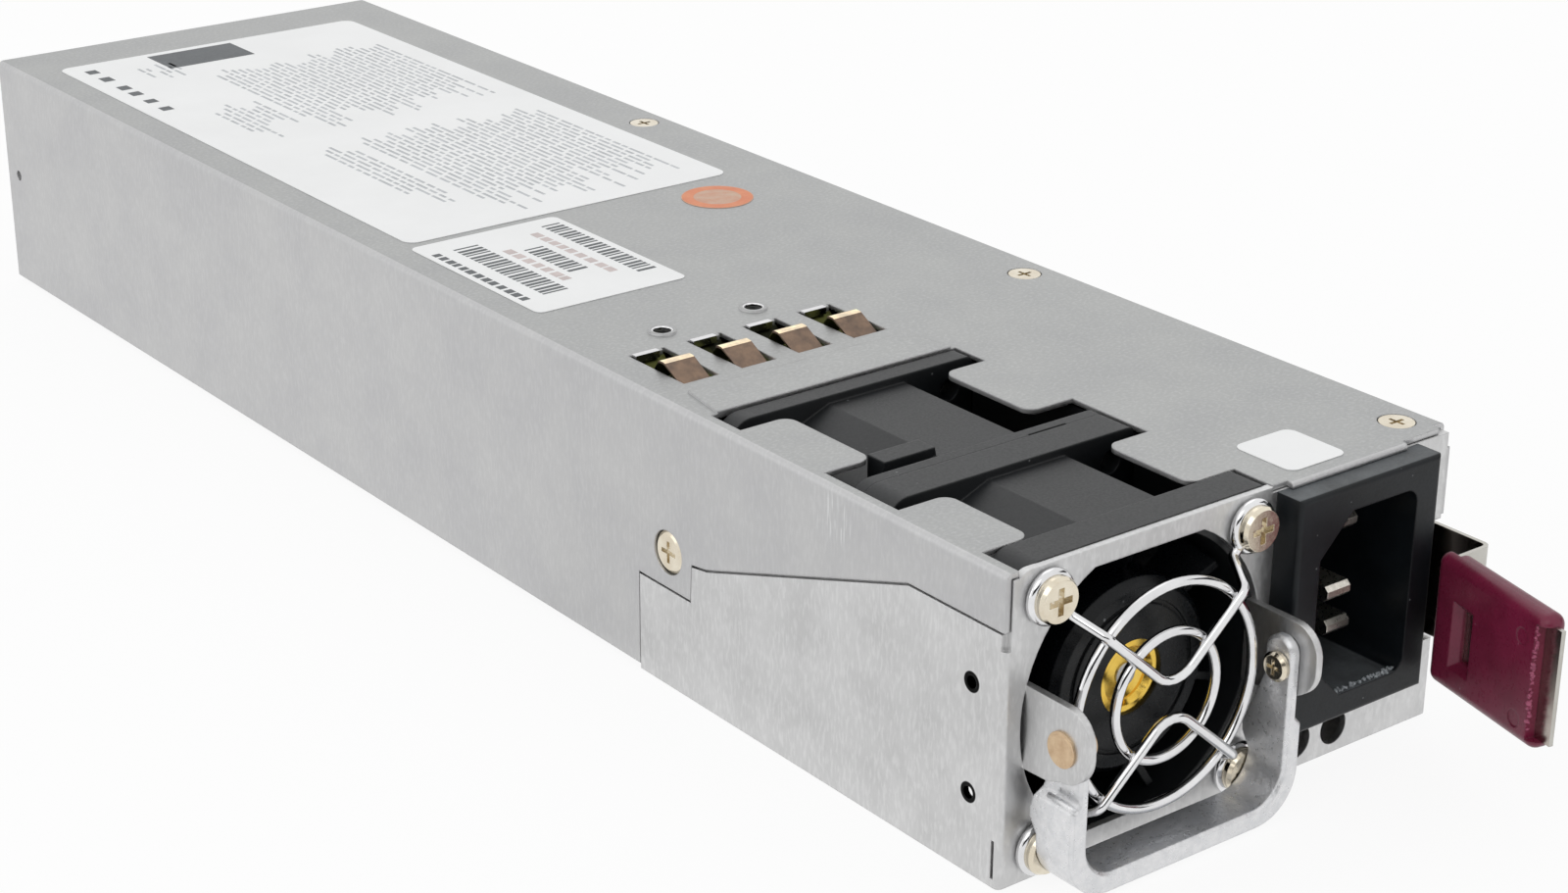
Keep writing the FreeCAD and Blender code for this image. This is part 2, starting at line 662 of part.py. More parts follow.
def make_fan_frame(label, front, flanges, struts, tube):
    """One fan housing from 'front' back: barrel, flanges, stator plate on struts and bearing tube."""
    part = SubPart(label)
    rear = front + S["fan_depth"]
    bore = circle(FAN_X, FAN_Z, S["fan_bore_radius"])
    part.pad("barrel", "XZ", front, rear, barrel_outline(), bore)
    for index, (low, high) in enumerate(flanges):
        part.pad(f"flange_{index}", "XZ", low, high, flange_outline(), bore)
    hole = part.pocket("mounting_hole", "XZ", front - 1.0, rear + 1.0,
                       regular(FAN_X - HALF_PITCH, FAN_Z - HALF_PITCH, S["fan_hole_radius"] - 0.1, 12))
    part.repeat("mounting_holes", [hole], "X", S["fan_hole_pitch"], 2, "Z", S["fan_hole_pitch"], 2)
    plate_low, plate_high = struts
    part.pad("stator_plate", "XZ", plate_low, plate_high, circle(FAN_X, FAN_Z, 11.4))
    for index, turn in enumerate((20.0, 110.0, 200.0, 290.0)):
        part.pad(f"strut_{index}", "XZ", plate_low, plate_high, strut_outline(turn))
    tube_low, tube_high = tube
    part.pad("bearing_tube", "XZ", tube_low, tube_high, circle(FAN_X, FAN_Z, 3.4))
    part.pocket("bearing_bore", "XZ", tube_low - 4.0, tube_high + 4.0,
                circle(FAN_X, FAN_Z, S["bearing_radius"]))
    return part


def strut_outline(turn):
    """A bar from the stator plate out into the barrel, turned about the fan's axis."""
    angle = math.radians(turn)
    along = (math.cos(angle), math.sin(angle))
    half = 1.1
    corners = []
    for reach, side in ((10.6, -half), (18.9, -half), (18.9, half), (10.6, half)):
        corners.append((FAN_X + reach * along[0] - side * along[1],
                        FAN_Z + reach * along[1] + side * along[0]))
    return corners


def blade_section(centre, scale, hand):
    """Bowed section of a fan blade, as (axial, tangential) corners; hand sets its sweep.

    Sections that differ in scale alone keep their sides parallel, so the blade between them is flat
    sided from root to tip.
    """
    steps = 3
    depth = 14.5 * scale
    chord = 10.4 * scale
    bow = 1.6 * scale
    thickness = 1.1
    flank = []
    for index in range(steps + 1):
        share = index / steps
        across = chord * (share - 0.5) - bow * 4 * share * (1 - share)
        flank.append((centre + depth * (share - 0.5), hand * across))
    return flank + [(axial, across + hand * thickness) for axial, across in reversed(flank)]


def hub_outline(radius, length, wall, boss, face_at_front):
    """Section of the hub cup: bevelled rim, a ring groove in its face and a seat for the boss."""
    bevel = 1.0
    groove = 9.2
    face = [(boss, 0.0), (groove, 0.0), (groove, 0.35), (groove + 0.6, 0.35), (groove + 0.6, 0.0),
            (radius - bevel, 0.0), (radius, bevel), (radius, length), (radius - wall, length),
            (radius - wall, wall), (boss, wall)]
    if face_at_front:
        return face
    return [(across, length - axial) for across, axial in reversed(face)]


def make_rotor(label, front, length, blades, hand, face_at_front):
    """Hub cup with swept blades; its open end faces the stator plate. hand sets the sweep."""
    part = SubPart(label, FAN_X, front, FAN_Z)
    radius = SIZES["hub_radius"]
    part.turned("Revolution", "hub", "XY", "V_Axis",
                hub_outline(radius, length, 1.7, SIZES["boss_radius"], face_at_front))
    middle = length / 2 - 0.4
    blade = part.loft("blade", "YZ", [(radius - 0.7, blade_section(middle, 1.0, hand)),
                                      (19.4, blade_section(middle, 1.35, hand))])
    part.around("blades", [blade], "Y", blades)
    part.turned("Groove", "tip_trim", "XY", "V_Axis",
                rectangle(S["blade_tip_radius"], -3.0, 26.0, length + 3.0))
    return part


def make_boss(label, low, high, dish_at_front):
    """Brass boss pressed into the hub face, dished round the shaft's end."""
    part = SubPart(label, FAN_X, low, FAN_Z)
    r = S["boss_radius"]
    bore = S["shaft_radius"]
    depth = high - low
    rim = 0.7
    dished = [(bore, rim), (r - 1.4, rim), (r - 1.0, 0.0), (r, 0.0), (r, depth), (bore, depth)]
    flat = [(bore, 0.0), (r, 0.0), (r, depth), (r - 1.0, depth), (r - 1.4, depth - rim), (bore, depth - rim)]
    part.turned("Revolution", "boss", "XY", "V_Axis", dished if dish_at_front else flat)
    return part


def make_shaft(label, low, high):
    part = SubPart(label, FAN_X, low, FAN_Z)
    part.turned("Revolution", "shaft", "XY", "V_Axis",
                rectangle(0.0, 0.0, S["shaft_radius"], high - low))
    return part


def make_stator(label, low, high):
    """Laminated stator with its windings: eight poles round the bearing tube."""
    part = SubPart(label, FAN_X, low, FAN_Z)
    part.pad("core", "XZ", 0.0, high - low, circle(0.0, 0.0, 9.9), circle(0.0, 0.0, 3.5))
    gap = part.pocket("pole_gap", "XZ", -1.0, high - low + 1.0,
                      rectangle(5.4, -0.9, 11.0, 0.9))
    part.around("pole_gaps", [gap], "Y", 8)
    return part


def make_bearings(label, ends):
    """The two ball bearings in a fan's tube, each as one closed ring."""
    part = SubPart(label, FAN_X, 0.0, FAN_Z)
    for index, (low, high) in enumerate(ends):
        part.turned("Revolution", f"bearing_{index}", "XY", "V_Axis",
                    rectangle(S["shaft_radius"] + S["bearing_clearance"], low, S["bearing_radius"], high))
    return part


def make_fans():
    front = S["panel_sheet"]
    middle = front + S["fan_depth"]
    rear = middle + S["fan_depth"]
    make_fan_frame("front_fan_frame", front, [(front, front + 5.3), (middle - 5.4, middle)],
                   (middle - 2.4, middle - 0.3), (front + 8.0, middle - 0.3))
    second = make_fan_frame("rear_fan_frame", middle, [(middle, middle + 1.8), (rear - 2.9, rear)],
                            (middle + 0.3, middle + 2.4), (middle + 0.3, rear - 8.0))
    second.pad("lead_clip", "XZ", middle + 4.1, middle + 7.3,
               [(FAN_X - 12.3, FAN_Z + HALF_FAN), (FAN_X - 12.3, FAN_Z + HALF_FAN - 5.0),
                (FAN_X - 4.0, FAN_Z + HALF_FAN - 1.7), (FAN_X - 4.4, FAN_Z + HALF_FAN)])
    second.pocket("parting_slot", "XY", FAN_Z + HALF_FAN - 1.5, FAN_Z + HALF_FAN + 1.0,
                  rectangle(-7.7, middle - 1.0, -1.5, middle + 0.35))
    make_rotor("front_fan_rotor", front + 1.0, 22.5, 7, 1.0, True)
    make_boss("front_rotor_boss", front + 1.4, front + 3.0, True)
    make_shaft("front_rotor_shaft", front + 1.9, middle - 1.2)
    make_stator("front_stator", front + 6.0, front + 20.5)
    make_rotor("rear_fan_rotor", rear - 23.5, 22.5, 5, -1.0, False)
    make_boss("rear_rotor_boss", rear - 3.0, rear - 1.4, False)
    make_shaft("rear_rotor_shaft", middle + 1.2, rear - 1.9)
    make_stator("rear_stator", rear - 20.5, rear - 6.0)
    make_bearings("front_bearings", [(front + 8.2, front + 11.2), (middle - 5.4, middle - 2.4)])
    make_bearings("rear_bearings", [(middle + 2.4, middle + 5.4), (rear - 11.2, rear - 8.2)])
    baffle = SubPart("fan_baffle")
    left = S["cutout_right"] + 0.3
    sheet = 0.5
    floor = S["chassis_sheet"]
    baffle.pad("baffle", "XZ", front + 0.2, S["cutout_rear"] - 0.2,
               [(left, floor), (left + 4.0, floor), (left + 4.0, floor + sheet), (left + sheet, floor + sheet),
                (left + sheet, COVER_UNDERSIDE - 0.5), (left, COVER_UNDERSIDE - 0.5)])


def tangent_path(points, radii):
    """A wire of straight runs joined by tangent arcs, one radius for each inner point."""
    edges = []
    start = points[0]
    for index, radius in enumerate(radii, start=1):
        corner = points[index]
        back = (points[index - 1] - corner).normalize()
        ahead = (points[index + 1] - corner).normalize()
        half_angle = back.getAngle(ahead) / 2
        setback = radius / math.tan(half_angle)
        centre = corner + (back + ahead).normalize() * (radius / math.sin(half_angle))
        arc_start = corner + back * setback
        arc_end = corner + ahead * setback
        arc_middle = centre + (corner - centre).normalize() * radius
        edges.append(Part.LineSegment(start, arc_start).toShape())
        edges.append(Part.Arc(arc_start, arc_middle, arc_end).toShape())
        start = arc_end
    edges.append(Part.LineSegment(start, points[-1]).toShape())
    return Part.Wire(edges)


def wire_section(name, x, y, z, direction):
    """Octagonal section of the guard's wire, square to direction, with a flat towards the panel."""
    section = doc.addObject("Part::RegularPolygon", name)
    section.Polygon = WIRE_SIDES
    half_side = FULL_TURN / WIRE_SIDES / 2
    bind(section, "Circumradius", S["guard_wire"] / (2 * math.cos(math.radians(half_side))))
    upright = Vector(0, 0, 1)
    place(section, x, y, z, Rotation(upright, direction).multiply(Rotation(upright, half_side)))
    return section


def wire_ring(name, radius, x, stand, z):
    """A closed ring of wire about a fore-and-aft axis, 'stand' in front of the panel."""
    ring = doc.addObject("Part::Revolution", name)
    ring.Source = wire_section(f"{name}_section", x + radius, -stand, z, Vector(0, 0, 1))
    for axis, value in (("x", x), ("y", -stand - S["case_length"] / 2), ("z", z)):
        ring.setExpression(f"Base.{axis}", formula_of(value))
    ring.Axis = Vector(0, 1, 0)
    ring.Angle = FULL_TURN
    ring.Solid = True
    return ring


def wire_leg(name, up):
    """A bent leg of the guard, from eyelet to eyelet; up is 1 above the fan's axis, -1 below."""
    low = number_of(S["guard_wire"] / 2)
    stand = number_of(S["guard_leg_stand"])
    reach = number_of(HALF_PITCH - S["guard_eyelet"] * math.sqrt(0.5))
    half_leg = [(reach + 0.2, low), (13.0, low), (10.9, stand)]
    points = [Vector(-across, -depth, up * across) for across, depth in half_leg]
    points.append(Vector(0.0, -stand, up * 1.2))
    points += [Vector(across, -depth, up * across) for across, depth in reversed(half_leg)]
    centre = Vector(number_of(FAN_X), 0.0, number_of(FAN_Z))
    to_origin = Vector(0.0, -number_of(S["case_length"]) / 2, 0.0)
    spine = doc.addObject("Part::Feature", f"{name}_path")
    spine.Shape = tangent_path([point + centre + to_origin for point in points], [1.0, 1.4, 4.0, 1.4, 1.0])
    start = points[0] + centre
    leg = doc.addObject("Part::Sweep", name)
    leg.Sections = [wire_section(f"{name}_section", start.x, start.y, start.z, points[1] - points[0])]
    leg.Spine = (spine, [])
    leg.Solid = True
    return leg


def make_guard():
    """Wire guard: two rings and two bent legs, each leg ending in an eyelet under a screw."""
    stand = S["guard_ring_stand"]
    pieces = [wire_ring("guard_ring_large", S["guard_ring_large"], FAN_X, stand, FAN_Z),
              wire_ring("guard_ring_small", S["guard_ring_small"], FAN_X, stand, FAN_Z)]
    for row, up in (("upper", 1.0), ("lower", -1.0)):
        pieces.append(wire_leg(f"{row}_leg", up))
        for side, out in (("left", -1.0), ("right", 1.0)):
            pieces.append(wire_ring(f"{row}_{side}_eyelet", S["guard_eyelet"], FAN_X + HALF_PITCH * out,
                                    S["guard_wire"] / 2, FAN_Z + HALF_PITCH * up))
    guard = doc.addObject("Part::MultiFuse", "fan_guard")
    guard.Label = "fan_guard"
    guard.Shapes = pieces
    return guard


# ---------------------------------------------------------------------------------------------
# Screws and rivets. Each is turned about its own Z axis, head up.


def cross_recess(part, top, reach, width, depth):
    """Cross recess in a screw head whose face is at height top."""
    part.pocket("recess_one", "XY", top - depth, top + 1.0, rectangle(-reach, -width, reach, width))
    part.pocket("recess_two", "XY", top - depth, top + 1.0, rectangle(-width, -reach, width, reach))


def make_guard_screws():
    """Four screws through the guard's eyelets and the panel into the fan flange."""
    part = SubPart("guard_screws", FAN_X - HALF_PITCH, -S["guard_wire"], FAN_Z - HALF_PITCH, FORWARD)
    length = 7.5
    head = 2.9
    thick = 1.15
    screw = part.turned("Revolution", "screw", "XZ", "V_Axis",
                        [(0.0, -length), (1.5, -length), (1.5, 0.0), (head, 0.0), (head, 0.65),
                         (head - 0.3, thick), (0.0, thick)])
    reach = 1.7
    width = 0.42
    one = part.pocket("recess_one", "XY", 0.35, thick + 1.0, rectangle(-reach, -width, reach, width))
    two = part.pocket("recess_two", "XY", 0.35, thick + 1.0, rectangle(-width, -reach, width, reach))
    part.repeat("all_screws", [screw, one, two], "X", S["fan_hole_pitch"], 2, "Y", S["fan_hole_pitch"], 2)
    return part


def make_cover_screws():
    """Three countersunk screws that hold the cover's right edge, at uneven spacing."""
    part = SubPart("cover_screws", COVER_SCREW_X, 0.0, COVER_TOP)
    head = 2.3
    for name, y in zip(("front", "middle", "rear"), COVER_SCREWS):
        part.pad(f"{name}_head", "XY", -0.75, -0.05, circle(0.0, y, head))
        part.pad(f"{name}_shank", "XY", -4.0, -0.75, circle(0.0, y, 1.2))
        part.pocket(f"{name}_recess", "XY", -0.55, 1.0, rectangle(-1.2, y - 0.25, 1.2, y + 0.25))
        part.pocket(f"{name}_recess_across", "XY", -0.55, 1.0, rectangle(-0.25, y - 1.2, 0.25, y + 1.2))
    return part


def make_side_screw():
    part = SubPart("side_screw", -HALF_WIDTH + 0.75, 64.8, 19.1, OUT_LEFT)
    part.turned("Revolution", "screw", "XZ", "V_Axis",
                [(0.0, -3.2), (1.5, -3.2), (1.5, 0.0), (2.9, 0.0), (2.9, 0.35), (2.4, 0.7), (0.0, 0.7)])
    cross_recess(part, 0.7, 1.5, 0.3, 0.45)
    return part


def make_handle_rivet():
    """Shouldered rivet through the left ear and the left arm of the handle."""
    outer = FAN_X - S["ear_spread"]
    part = SubPart("handle_rivet", outer, -S["pivot_forward"], S["pivot_height"], OUT_LEFT)
    r = S["pivot_radius"]
    part.turned("Revolution", "rivet", "XZ", "V_Axis",
                [(0.0, -3.4), (2.1, -3.4), (2.1, -2.8), (r, -2.8), (r, 0.0), (2.2, 0.0), (2.2, 0.3),
                 (1.6, 0.3), (1.5, 0.1), (1.2, 0.1), (1.1, 0.3), (0.0, 0.3)])
    return part


def make_pivot_screw():
    """Shoulder screw of the right arm: its head is inside the handle, its end is in the ear."""
    inner_face = FAN_X + S["ear_spread"] - 2.8
    part = SubPart("handle_pivot_screw", inner_face, -S["pivot_forward"], S["pivot_height"], OUT_LEFT)
    r = S["pivot_radius"]
    part.turned("Revolution", "screw", "XZ", "V_Axis",
                [(0.0, -2.75), (r, -2.75), (r, 0.0), (1.9, 0.0), (1.9, 0.5), (1.5, 0.85), (0.0, 0.85)])
    cross_recess(part, 0.85, 1.0, 0.22, 0.5)
    return part


# ---------------------------------------------------------------------------------------------
# Mains inlet


def socket_outline():
    """Socket of the inlet: long upright, its two left corners cut at 45 degrees."""
    half_u = S["socket_width"] / 2
    half_v = S["socket_height"] / 2
    c = S["socket_chamfer"]
    x = S["inlet_across"]
    z = S["inlet_height"]
    return [(x - half_u, z - half_v + c), (x - half_u + c, z - half_v), (x + half_u - 2.0, z - half_v, 2.0),
            (x + half_u, z - half_v + 2.0), (x + half_u, z + half_v - 2.0, 2.0), (x + half_u - 2.0, z + half_v),
            (x - half_u + c, z + half_v), (x - half_u, z + half_v - c)]


def blade_boxes():
    """The three blades as (name, x, z, front): line, neutral and the longer earth blade."""
    x = S["inlet_across"]
    z = S["inlet_height"]
    return [("line", x + 2.7, z + S["blade_pitch"], 2.0), ("neutral", x + 2.7, z - S["blade_pitch"], 2.0),
            ("earth", x - 1.3, z, -1.2)]


def blade_outline(x, z):
    half_w = S["blade_width"] / 2
    half_t = S["blade_thickness"] / 2
    return rectangle(x - half_w, z - half_t, x + half_w, z + half_t)


def make_inlet():
    part = SubPart("inlet_body")
    x = S["inlet_across"]
    z = S["inlet_height"]
    half_w = S["bezel_width"] / 2
    half_h = S["bezel_height"] / 2
    part.pad("bezel", "XZ", -S["bezel_depth"], 0.0, rectangle(x - half_w, z - half_h, x + half_w, z + half_h))
    rear = S["socket_depth"] - S["bezel_depth"] + 4.0
    part.pad("housing", "XZ", 0.0, rear, rectangle(x - 11.0, z - 13.8, x + 11.0, z + 13.8))
    part.pocket("socket", "XZ", -S["bezel_depth"] - 1.0, S["socket_depth"] - S["bezel_depth"], socket_outline())
    for name, u, v, _ in blade_boxes():
        part.pocket(f"{name}_slot", "XZ", 5.0, 30.0, blade_outline(u, v))
    part.fillet("bezel_edges", 0.6,
                lambda edge, middle: near(middle.y, -S["bezel_depth"], 0.01)
                and (near(abs(middle.x - number_of(x)), half_w, 0.01) or near(abs(middle.z - number_of(z)), half_h, 0.01)))
    blades = SubPart("inlet_blades")
    for name, u, v, front in blade_boxes():
        blades.pad(f"{name}_blade", "XZ", front, 23.0, blade_outline(u, v))
        blades.pad(f"{name}_terminal", "XZ", 23.0, 26.5,
                   rectangle(u - 1.2, v - 0.4, u + 1.2, v + 0.4))
    blades.fillet("blade_tips", 0.6,
                  lambda edge, middle: along_x(edge) and middle.y < 3.0, "Chamfer")
    return part


# ---------------------------------------------------------------------------------------------
# Bail handle


def handle_front_outline():
    """Front view of the handle: a square-shouldered U with rounded lower corners."""
    low = S["handle_bottom"]
    bar = S["handle_bottom"] + S["handle_bar"]
    outer = S["ear_spread"] - 0.1
    inner = S["ear_spread"] - 2.7
    top = S["pivot_height"] + 6.0
    r_out = 6.5
    r_in = 4.6
    return [(FAN_X - outer, top), (FAN_X - outer, low + r_out, r_out), (FAN_X - outer + r_out, low),
            (FAN_X + outer - r_out, low, r_out), (FAN_X + outer, low + r_out), (FAN_X + outer, top),
            (FAN_X + inner, top), (FAN_X + inner, bar + r_in, -r_in), (FAN_X + inner - r_in, bar),
            (FAN_X - inner + r_in, bar, -r_in), (FAN_X - inner, bar + r_in), (FAN_X - inner, top)]


def handle_side_outline():
    """Side view of the handle: a round lug at the pivot, an arm that deepens, a bar below."""
    front = -S["handle_front"]
    y = -S["pivot_forward"] + 0.15
    z = S["pivot_height"]
    lug = 2.25
    low = S["handle_bottom"]
    return [(front, low), (-2.6, low), (-2.6, z - 12.6), (-1.4, z - 10.6), (-1.4, z - 9.4),
            (-2.5, z - 6.4), (y + lug, z - 2.7), (y + lug, z + 1.55, lug), (y, z + 1.55 + lug, lug),
            (front, z + 1.55)]


def make_handle():
    part = SubPart("bail_handle")
    part.pad("bail", "XZ", -S["handle_front"], -1.3, handle_front_outline())
    around = rectangle(-30.0, -10.0, 15.0, 45.0)
    part.pocket("side_trim", "YZ", FAN_X - 25.0, FAN_X + 25.0, around, handle_side_outline())
    outer = S["ear_spread"]
    step = S["pivot_height"] - 7.0
    for side, out in (("left", -1.0), ("right", 1.0)):
        face = FAN_X + outer * out
        ramp = [(face + out, step - 0.8), (face, step - 0.8), (face - 1.1 * out, step + 0.4),
                (face - 1.1 * out, 45.0), (face + out, 45.0)]
        part.pocket(f"{side}_ear_relief", "XZ", -30.0, 10.0, ramp)
    part.pocket("pivot_bore", "YZ", FAN_X - 25.0, FAN_X + 25.0,
                circle(-S["pivot_forward"], S["pivot_height"], S["pivot_radius"] + S["bearing_clearance"]))
    front = -number_of(S["handle_front"])
    part.fillet("front_edges", 0.4,
                lambda edge, middle: near(middle.y, front, 0.01) and middle.z < 24.0
                and not near(middle.z, S["pivot_height"] + 1.55, 0.4), "Chamfer")
    return part


# ---------------------------------------------------------------------------------------------
# Release latch


def tilted(origin, along, across, tilt):
    """A point given along and across a line that starts at origin and leans inward by tilt."""
    angle = math.radians(tilt)
    forward = (-math.sin(angle), -math.cos(angle))
    side = (math.cos(angle), -math.sin(angle))
    return (origin[0] + along * forward[0] + across * side[0],
            origin[1] + along * forward[1] + across * side[1])


def make_latch():
    """Leaf spring of the latch, bent from one strip, and the grip moulded over its end."""
    part = SubPart("latch_spring")
    t = S["leaf_sheet"]
    face = S["leaf_face"]
    low = S["latch_low"]
    high = S["latch_high"]
    reach = -S["leaf_reach"]
    inside = face - 0.8
    root = number_of(face) - 5.95
    tilt = SIZES["grip_tilt"]
    tail = LATCH_PIVOT_Y + 3.4
    bend = 1.2
    part.pad("hook", "XY", low, high,
             [(root, reach), (face - bend, reach, bend), (face, reach + bend), (face, 18.8), (face - t, 18.7),
              (face - t, reach + bend, number_of(t) - bend), (face - bend, reach + t), (root, reach + t)])
    part.pad("joggle", "XY", low + 0.6, high - 2.8,
             [(face - t, 18.6), (face, 18.6), (face, 18.8), (inside, 23.2), (inside, tail),
              (inside - t, tail), (inside - t, 23.1), (face - t, 18.7)])
    start = (root, number_of(reach) + number_of(t))
    length = SIZES["tongue_length"]
    tongue = [tilted(start, 0.0, 0.0, tilt), tilted(start, length, 0.0, tilt),
              tilted(start, length, number_of(t), tilt), tilted(start, 0.0, number_of(t), tilt)]
    part.pad("tongue", "XY", low - 1.0, high - 1.1, tongue)
    catch = [(face - 0.2, 3.4), (face + 1.5, 6.4), (face + 1.5, 7.6), (face - 0.2, 13.0)]
    part.pad("catch", "XY", low + 4.0, high - 4.0, catch)
    rivet_hole = part.pocket("rivet_hole", "YZ", HALF_WIDTH - 5.0, HALF_WIDTH + 1.0,
                             circle(LATCH_PIVOT_Y, LATCH_RIVET_Z, 1.55))
    part.repeat("rivet_holes", [rivet_hole], "Z", LATCH_RIVET_PITCH, 2)
    make_grip(start)
    rivets = SubPart("latch_rivets", HALF_WIDTH, LATCH_PIVOT_Y, LATCH_RIVET_Z + LATCH_RIVET_PITCH, OUT_RIGHT)
    rivet = rivets.turned("Revolution", "rivet", "XZ", "V_Axis",
                          [(0.0, -2.5), (2.2, -2.5), (2.2, -1.8), (1.3, -1.8), (1.3, 0.0), (0.0, 0.0)])
    rivets.repeat("rivets", [rivet], "X", LATCH_RIVET_PITCH, 2)
    return part


def make_grip(start):
    """Moulded grip on the tongue: X runs across it, Y back along it, from the strip's last bend."""
    lean = Rotation(Vector(0, 0, 1), -SIZES["grip_tilt"])
    part = SubPart("latch_grip", start[0], start[1], 0.0, lean)
    leaf = S["leaf_sheet"]
    inner = -1.5
    outer = S["grip_thickness"] + inner
    strip_low = S["latch_low"] - 1.0
    strip_high = S["latch_high"] - 1.1
    low = strip_low - 1.2
    high = strip_high + 1.3
    tip = -S["grip_length"]
    far = 30.0
    part.pad("paddle", "XY", low, high, rectangle(inner, tip, outer, S["grip_tail"]))
    part.fillet("paddle_edges", 1.5, lambda edge, middle: True)
    part.pocket("strip_slot", "XY", strip_low, strip_high, rectangle(0.0, -far, leaf, far))
    part.pocket("return_notch", "XY", strip_low + 0.8, high + 1.0, rectangle(0.0, -0.8, far, far))
    part.pocket("tip_cut", "XY", strip_low, strip_high, rectangle(inner - 1.0, -far, leaf, tip + 1.6))
    part.pocket("window", "YZ", inner - 1.0, 0.0, rectangle(-6.2, 13.6, -3.2, 20.7))
    part.fillet("window_bevel", 1.0,
                lambda edge, middle: middle.x < inner + 0.05
                and -6.1 < middle.y < -3.1 and 13.5 < middle.z < 20.8, "Chamfer")
    for name, z in (("upper", 22.9), ("lower", 12.0)):
        part.pocket(f"{name}_dimple", "YZ", inner - 1.0, inner + 0.12, regular(-15.6, z, 1.1, 16))
    return part


# ---------------------------------------------------------------------------------------------
# Spring fingers on the cover


def make_fingers():
    """Grounding strip under the cover, with four fingers that arch up through its slots."""
    part = SubPart("spring_fingers")
    t = 0.25
    left = -31.4 + 0.5
    crest = 41.2
    strip_top = COVER_UNDERSIDE
    finger = part.pad("finger", "YZ", left, left + S["finger_width"],
                      [(69.0, 38.7), (70.6, crest - t), (71.2, crest - t), (75.5, 37.7), (77.4, 37.7),
                       (80.2, strip_top - t), (81.0, strip_top - t), (81.0, strip_top), (80.1, strip_top),
                       (77.3, 38.0), (75.7, 38.0), (71.4, crest), (70.4, crest), (68.7, 38.85)])
    part.repeat("fingers", [finger], "X", S["finger_pitch"] * 3, 4)
    part.pad("strip", "XY", strip_top - t, strip_top, rectangle(-31.4, 80.8, 2.4, 90.0))
    hole = part.pocket("strip_hole", "XY", strip_top - 1.0, strip_top + 1.0, circle(-22.5, 85.7, 1.2))
    part.repeat("strip_holes", [hole], "X", 15.25, 2)
    return part


# ---------------------------------------------------------------------------------------------
# Board and the parts on it


def make_board():
    part = SubPart("main_board")
    rear = S["case_length"] - 3.0
    half = HALF_WIDTH - 4.4
    tongue = S["edge_width"] / 2
    reach = S["case_length"] + S["edge_reach"]
    outline = [(-half, 61.0), (7.4, 61.0), (7.4, 30.0), (half, 30.0), (half, rear), (tongue, rear),
               (tongue, reach), (-tongue, reach), (-tongue, rear), (-half, rear)]
    part.pad("board", "XY", S["board_height"], BOARD_TOP, outline)
    part.pocket("key_slot", "XY", S["board_height"] - 1.0, BOARD_TOP + 1.0,
                rectangle(8.0, S["case_length"] + 0.5, 9.6, reach + 1.0))
    contacts = SubPart("edge_contacts")
    for name, low in (("upper", BOARD_TOP), ("lower", S["board_height"] - 0.1)):
        for group, left, width, pitch, count in (("power", -24.4, 6.0, 7.6, 4), ("signal", 11.2, 1.2, 2.1, 7)):
            pad = contacts.pad(f"{name}_{group}", "XY", low, low + 0.1,
                               rectangle(left, S["case_length"] + 0.8, left + width, reach - 0.6))
            contacts.repeat(f"{name}_{group}_row", [pad], "X", pitch * (count - 1), count)
    film = SubPart("insulator_film")
    film.pad("film", "XY", 1.2, 1.5, rectangle(-half, 60.0, half, rear))
    film.pad("film_left", "YZ", -HALF_WIDTH + 2.2, -HALF_WIDTH + 2.5, rectangle(74.0, 1.5, rear, 34.0))
    film.pad("film_joint", "XY", 1.2, 1.5, rectangle(-HALF_WIDTH + 2.2, 74.0, -half, rear))
    posts = SubPart("board_posts")
    for index, y in enumerate((66.0, 158.0, 256.0)):
        post = posts.pad(f"post_{index}", "XY", 1.5, S["board_height"], regular(-29.0, y, 2.6, 6))
        posts.repeat(f"post_pair_{index}", [post], "X", 58.0, 2)
    return part


def make_heatsink(label, x, front, rear, count, pitch):
    """Extruded heatsink: an upright back with fins to one side."""
    part = SubPart(label)
    base = BOARD_TOP
    top = base + 27.0
    part.pad("back", "YZ", x, x + 2.0, rectangle(front, base, rear, top))
    fin = part.pad("fin", "XZ", front, rear, rectangle(x + 2.0, base + 3.0, x + 8.0, base + 4.0))
    part.repeat("fins", [fin], "Z", pitch * (count - 1), count)
    return part


def make_can_group(label, radius, height, positions):
    """Upright electrolytic cans on the board, each with its vent groove."""
    part = SubPart(label)
    for index, (x, y) in enumerate(positions):
        part.pad(f"can_{index}", "XY", BOARD_TOP, BOARD_TOP + height, regular(x, y, radius, 20))
        part.pocket(f"vent_{index}", "XY", BOARD_TOP + height - 0.4, BOARD_TOP + height + 1.0,
                    rectangle(x - radius * 0.6, y - 0.3, x + radius * 0.6, y + 0.3))
    return part


def make_bulk_capacitors():
    """Two large capacitors lying in line along the case."""
    part = SubPart("bulk_capacitors", -17.0, 0.0, BOARD_TOP + 13.0)
    radius = 13.0
    for index, front in enumerate((96.0, 150.0)):
        part.pad(f"can_{index}", "XZ", front, front + 50.0, circle(0.0, 0.0, radius))
        part.pocket(f"end_{index}", "XZ", front - 1.0, front + 0.6, circle(0.0, 0.0, radius - 1.2))
    return part


def make_toroid(label, x, y, radius, wire, upright):
    """A wound toroidal choke on its edge or flat; its heavy winding makes it a many-sided ring."""
    sides = 24
    height = BOARD_TOP + 0.2 + (radius + wire if upright else wire)
    part = SubPart(label, x, y, height, OUT_RIGHT if upright else None)
    part.pad("winding", "XY", -wire, wire, regular(0.0, 0.0, radius + wire, sides),
             regular(0.0, 0.0, radius - wire, sides))
    part.fillet("rims", wire * 0.4, lambda edge, middle: near(abs(middle.z), wire, 0.01), "Chamfer")
    return part


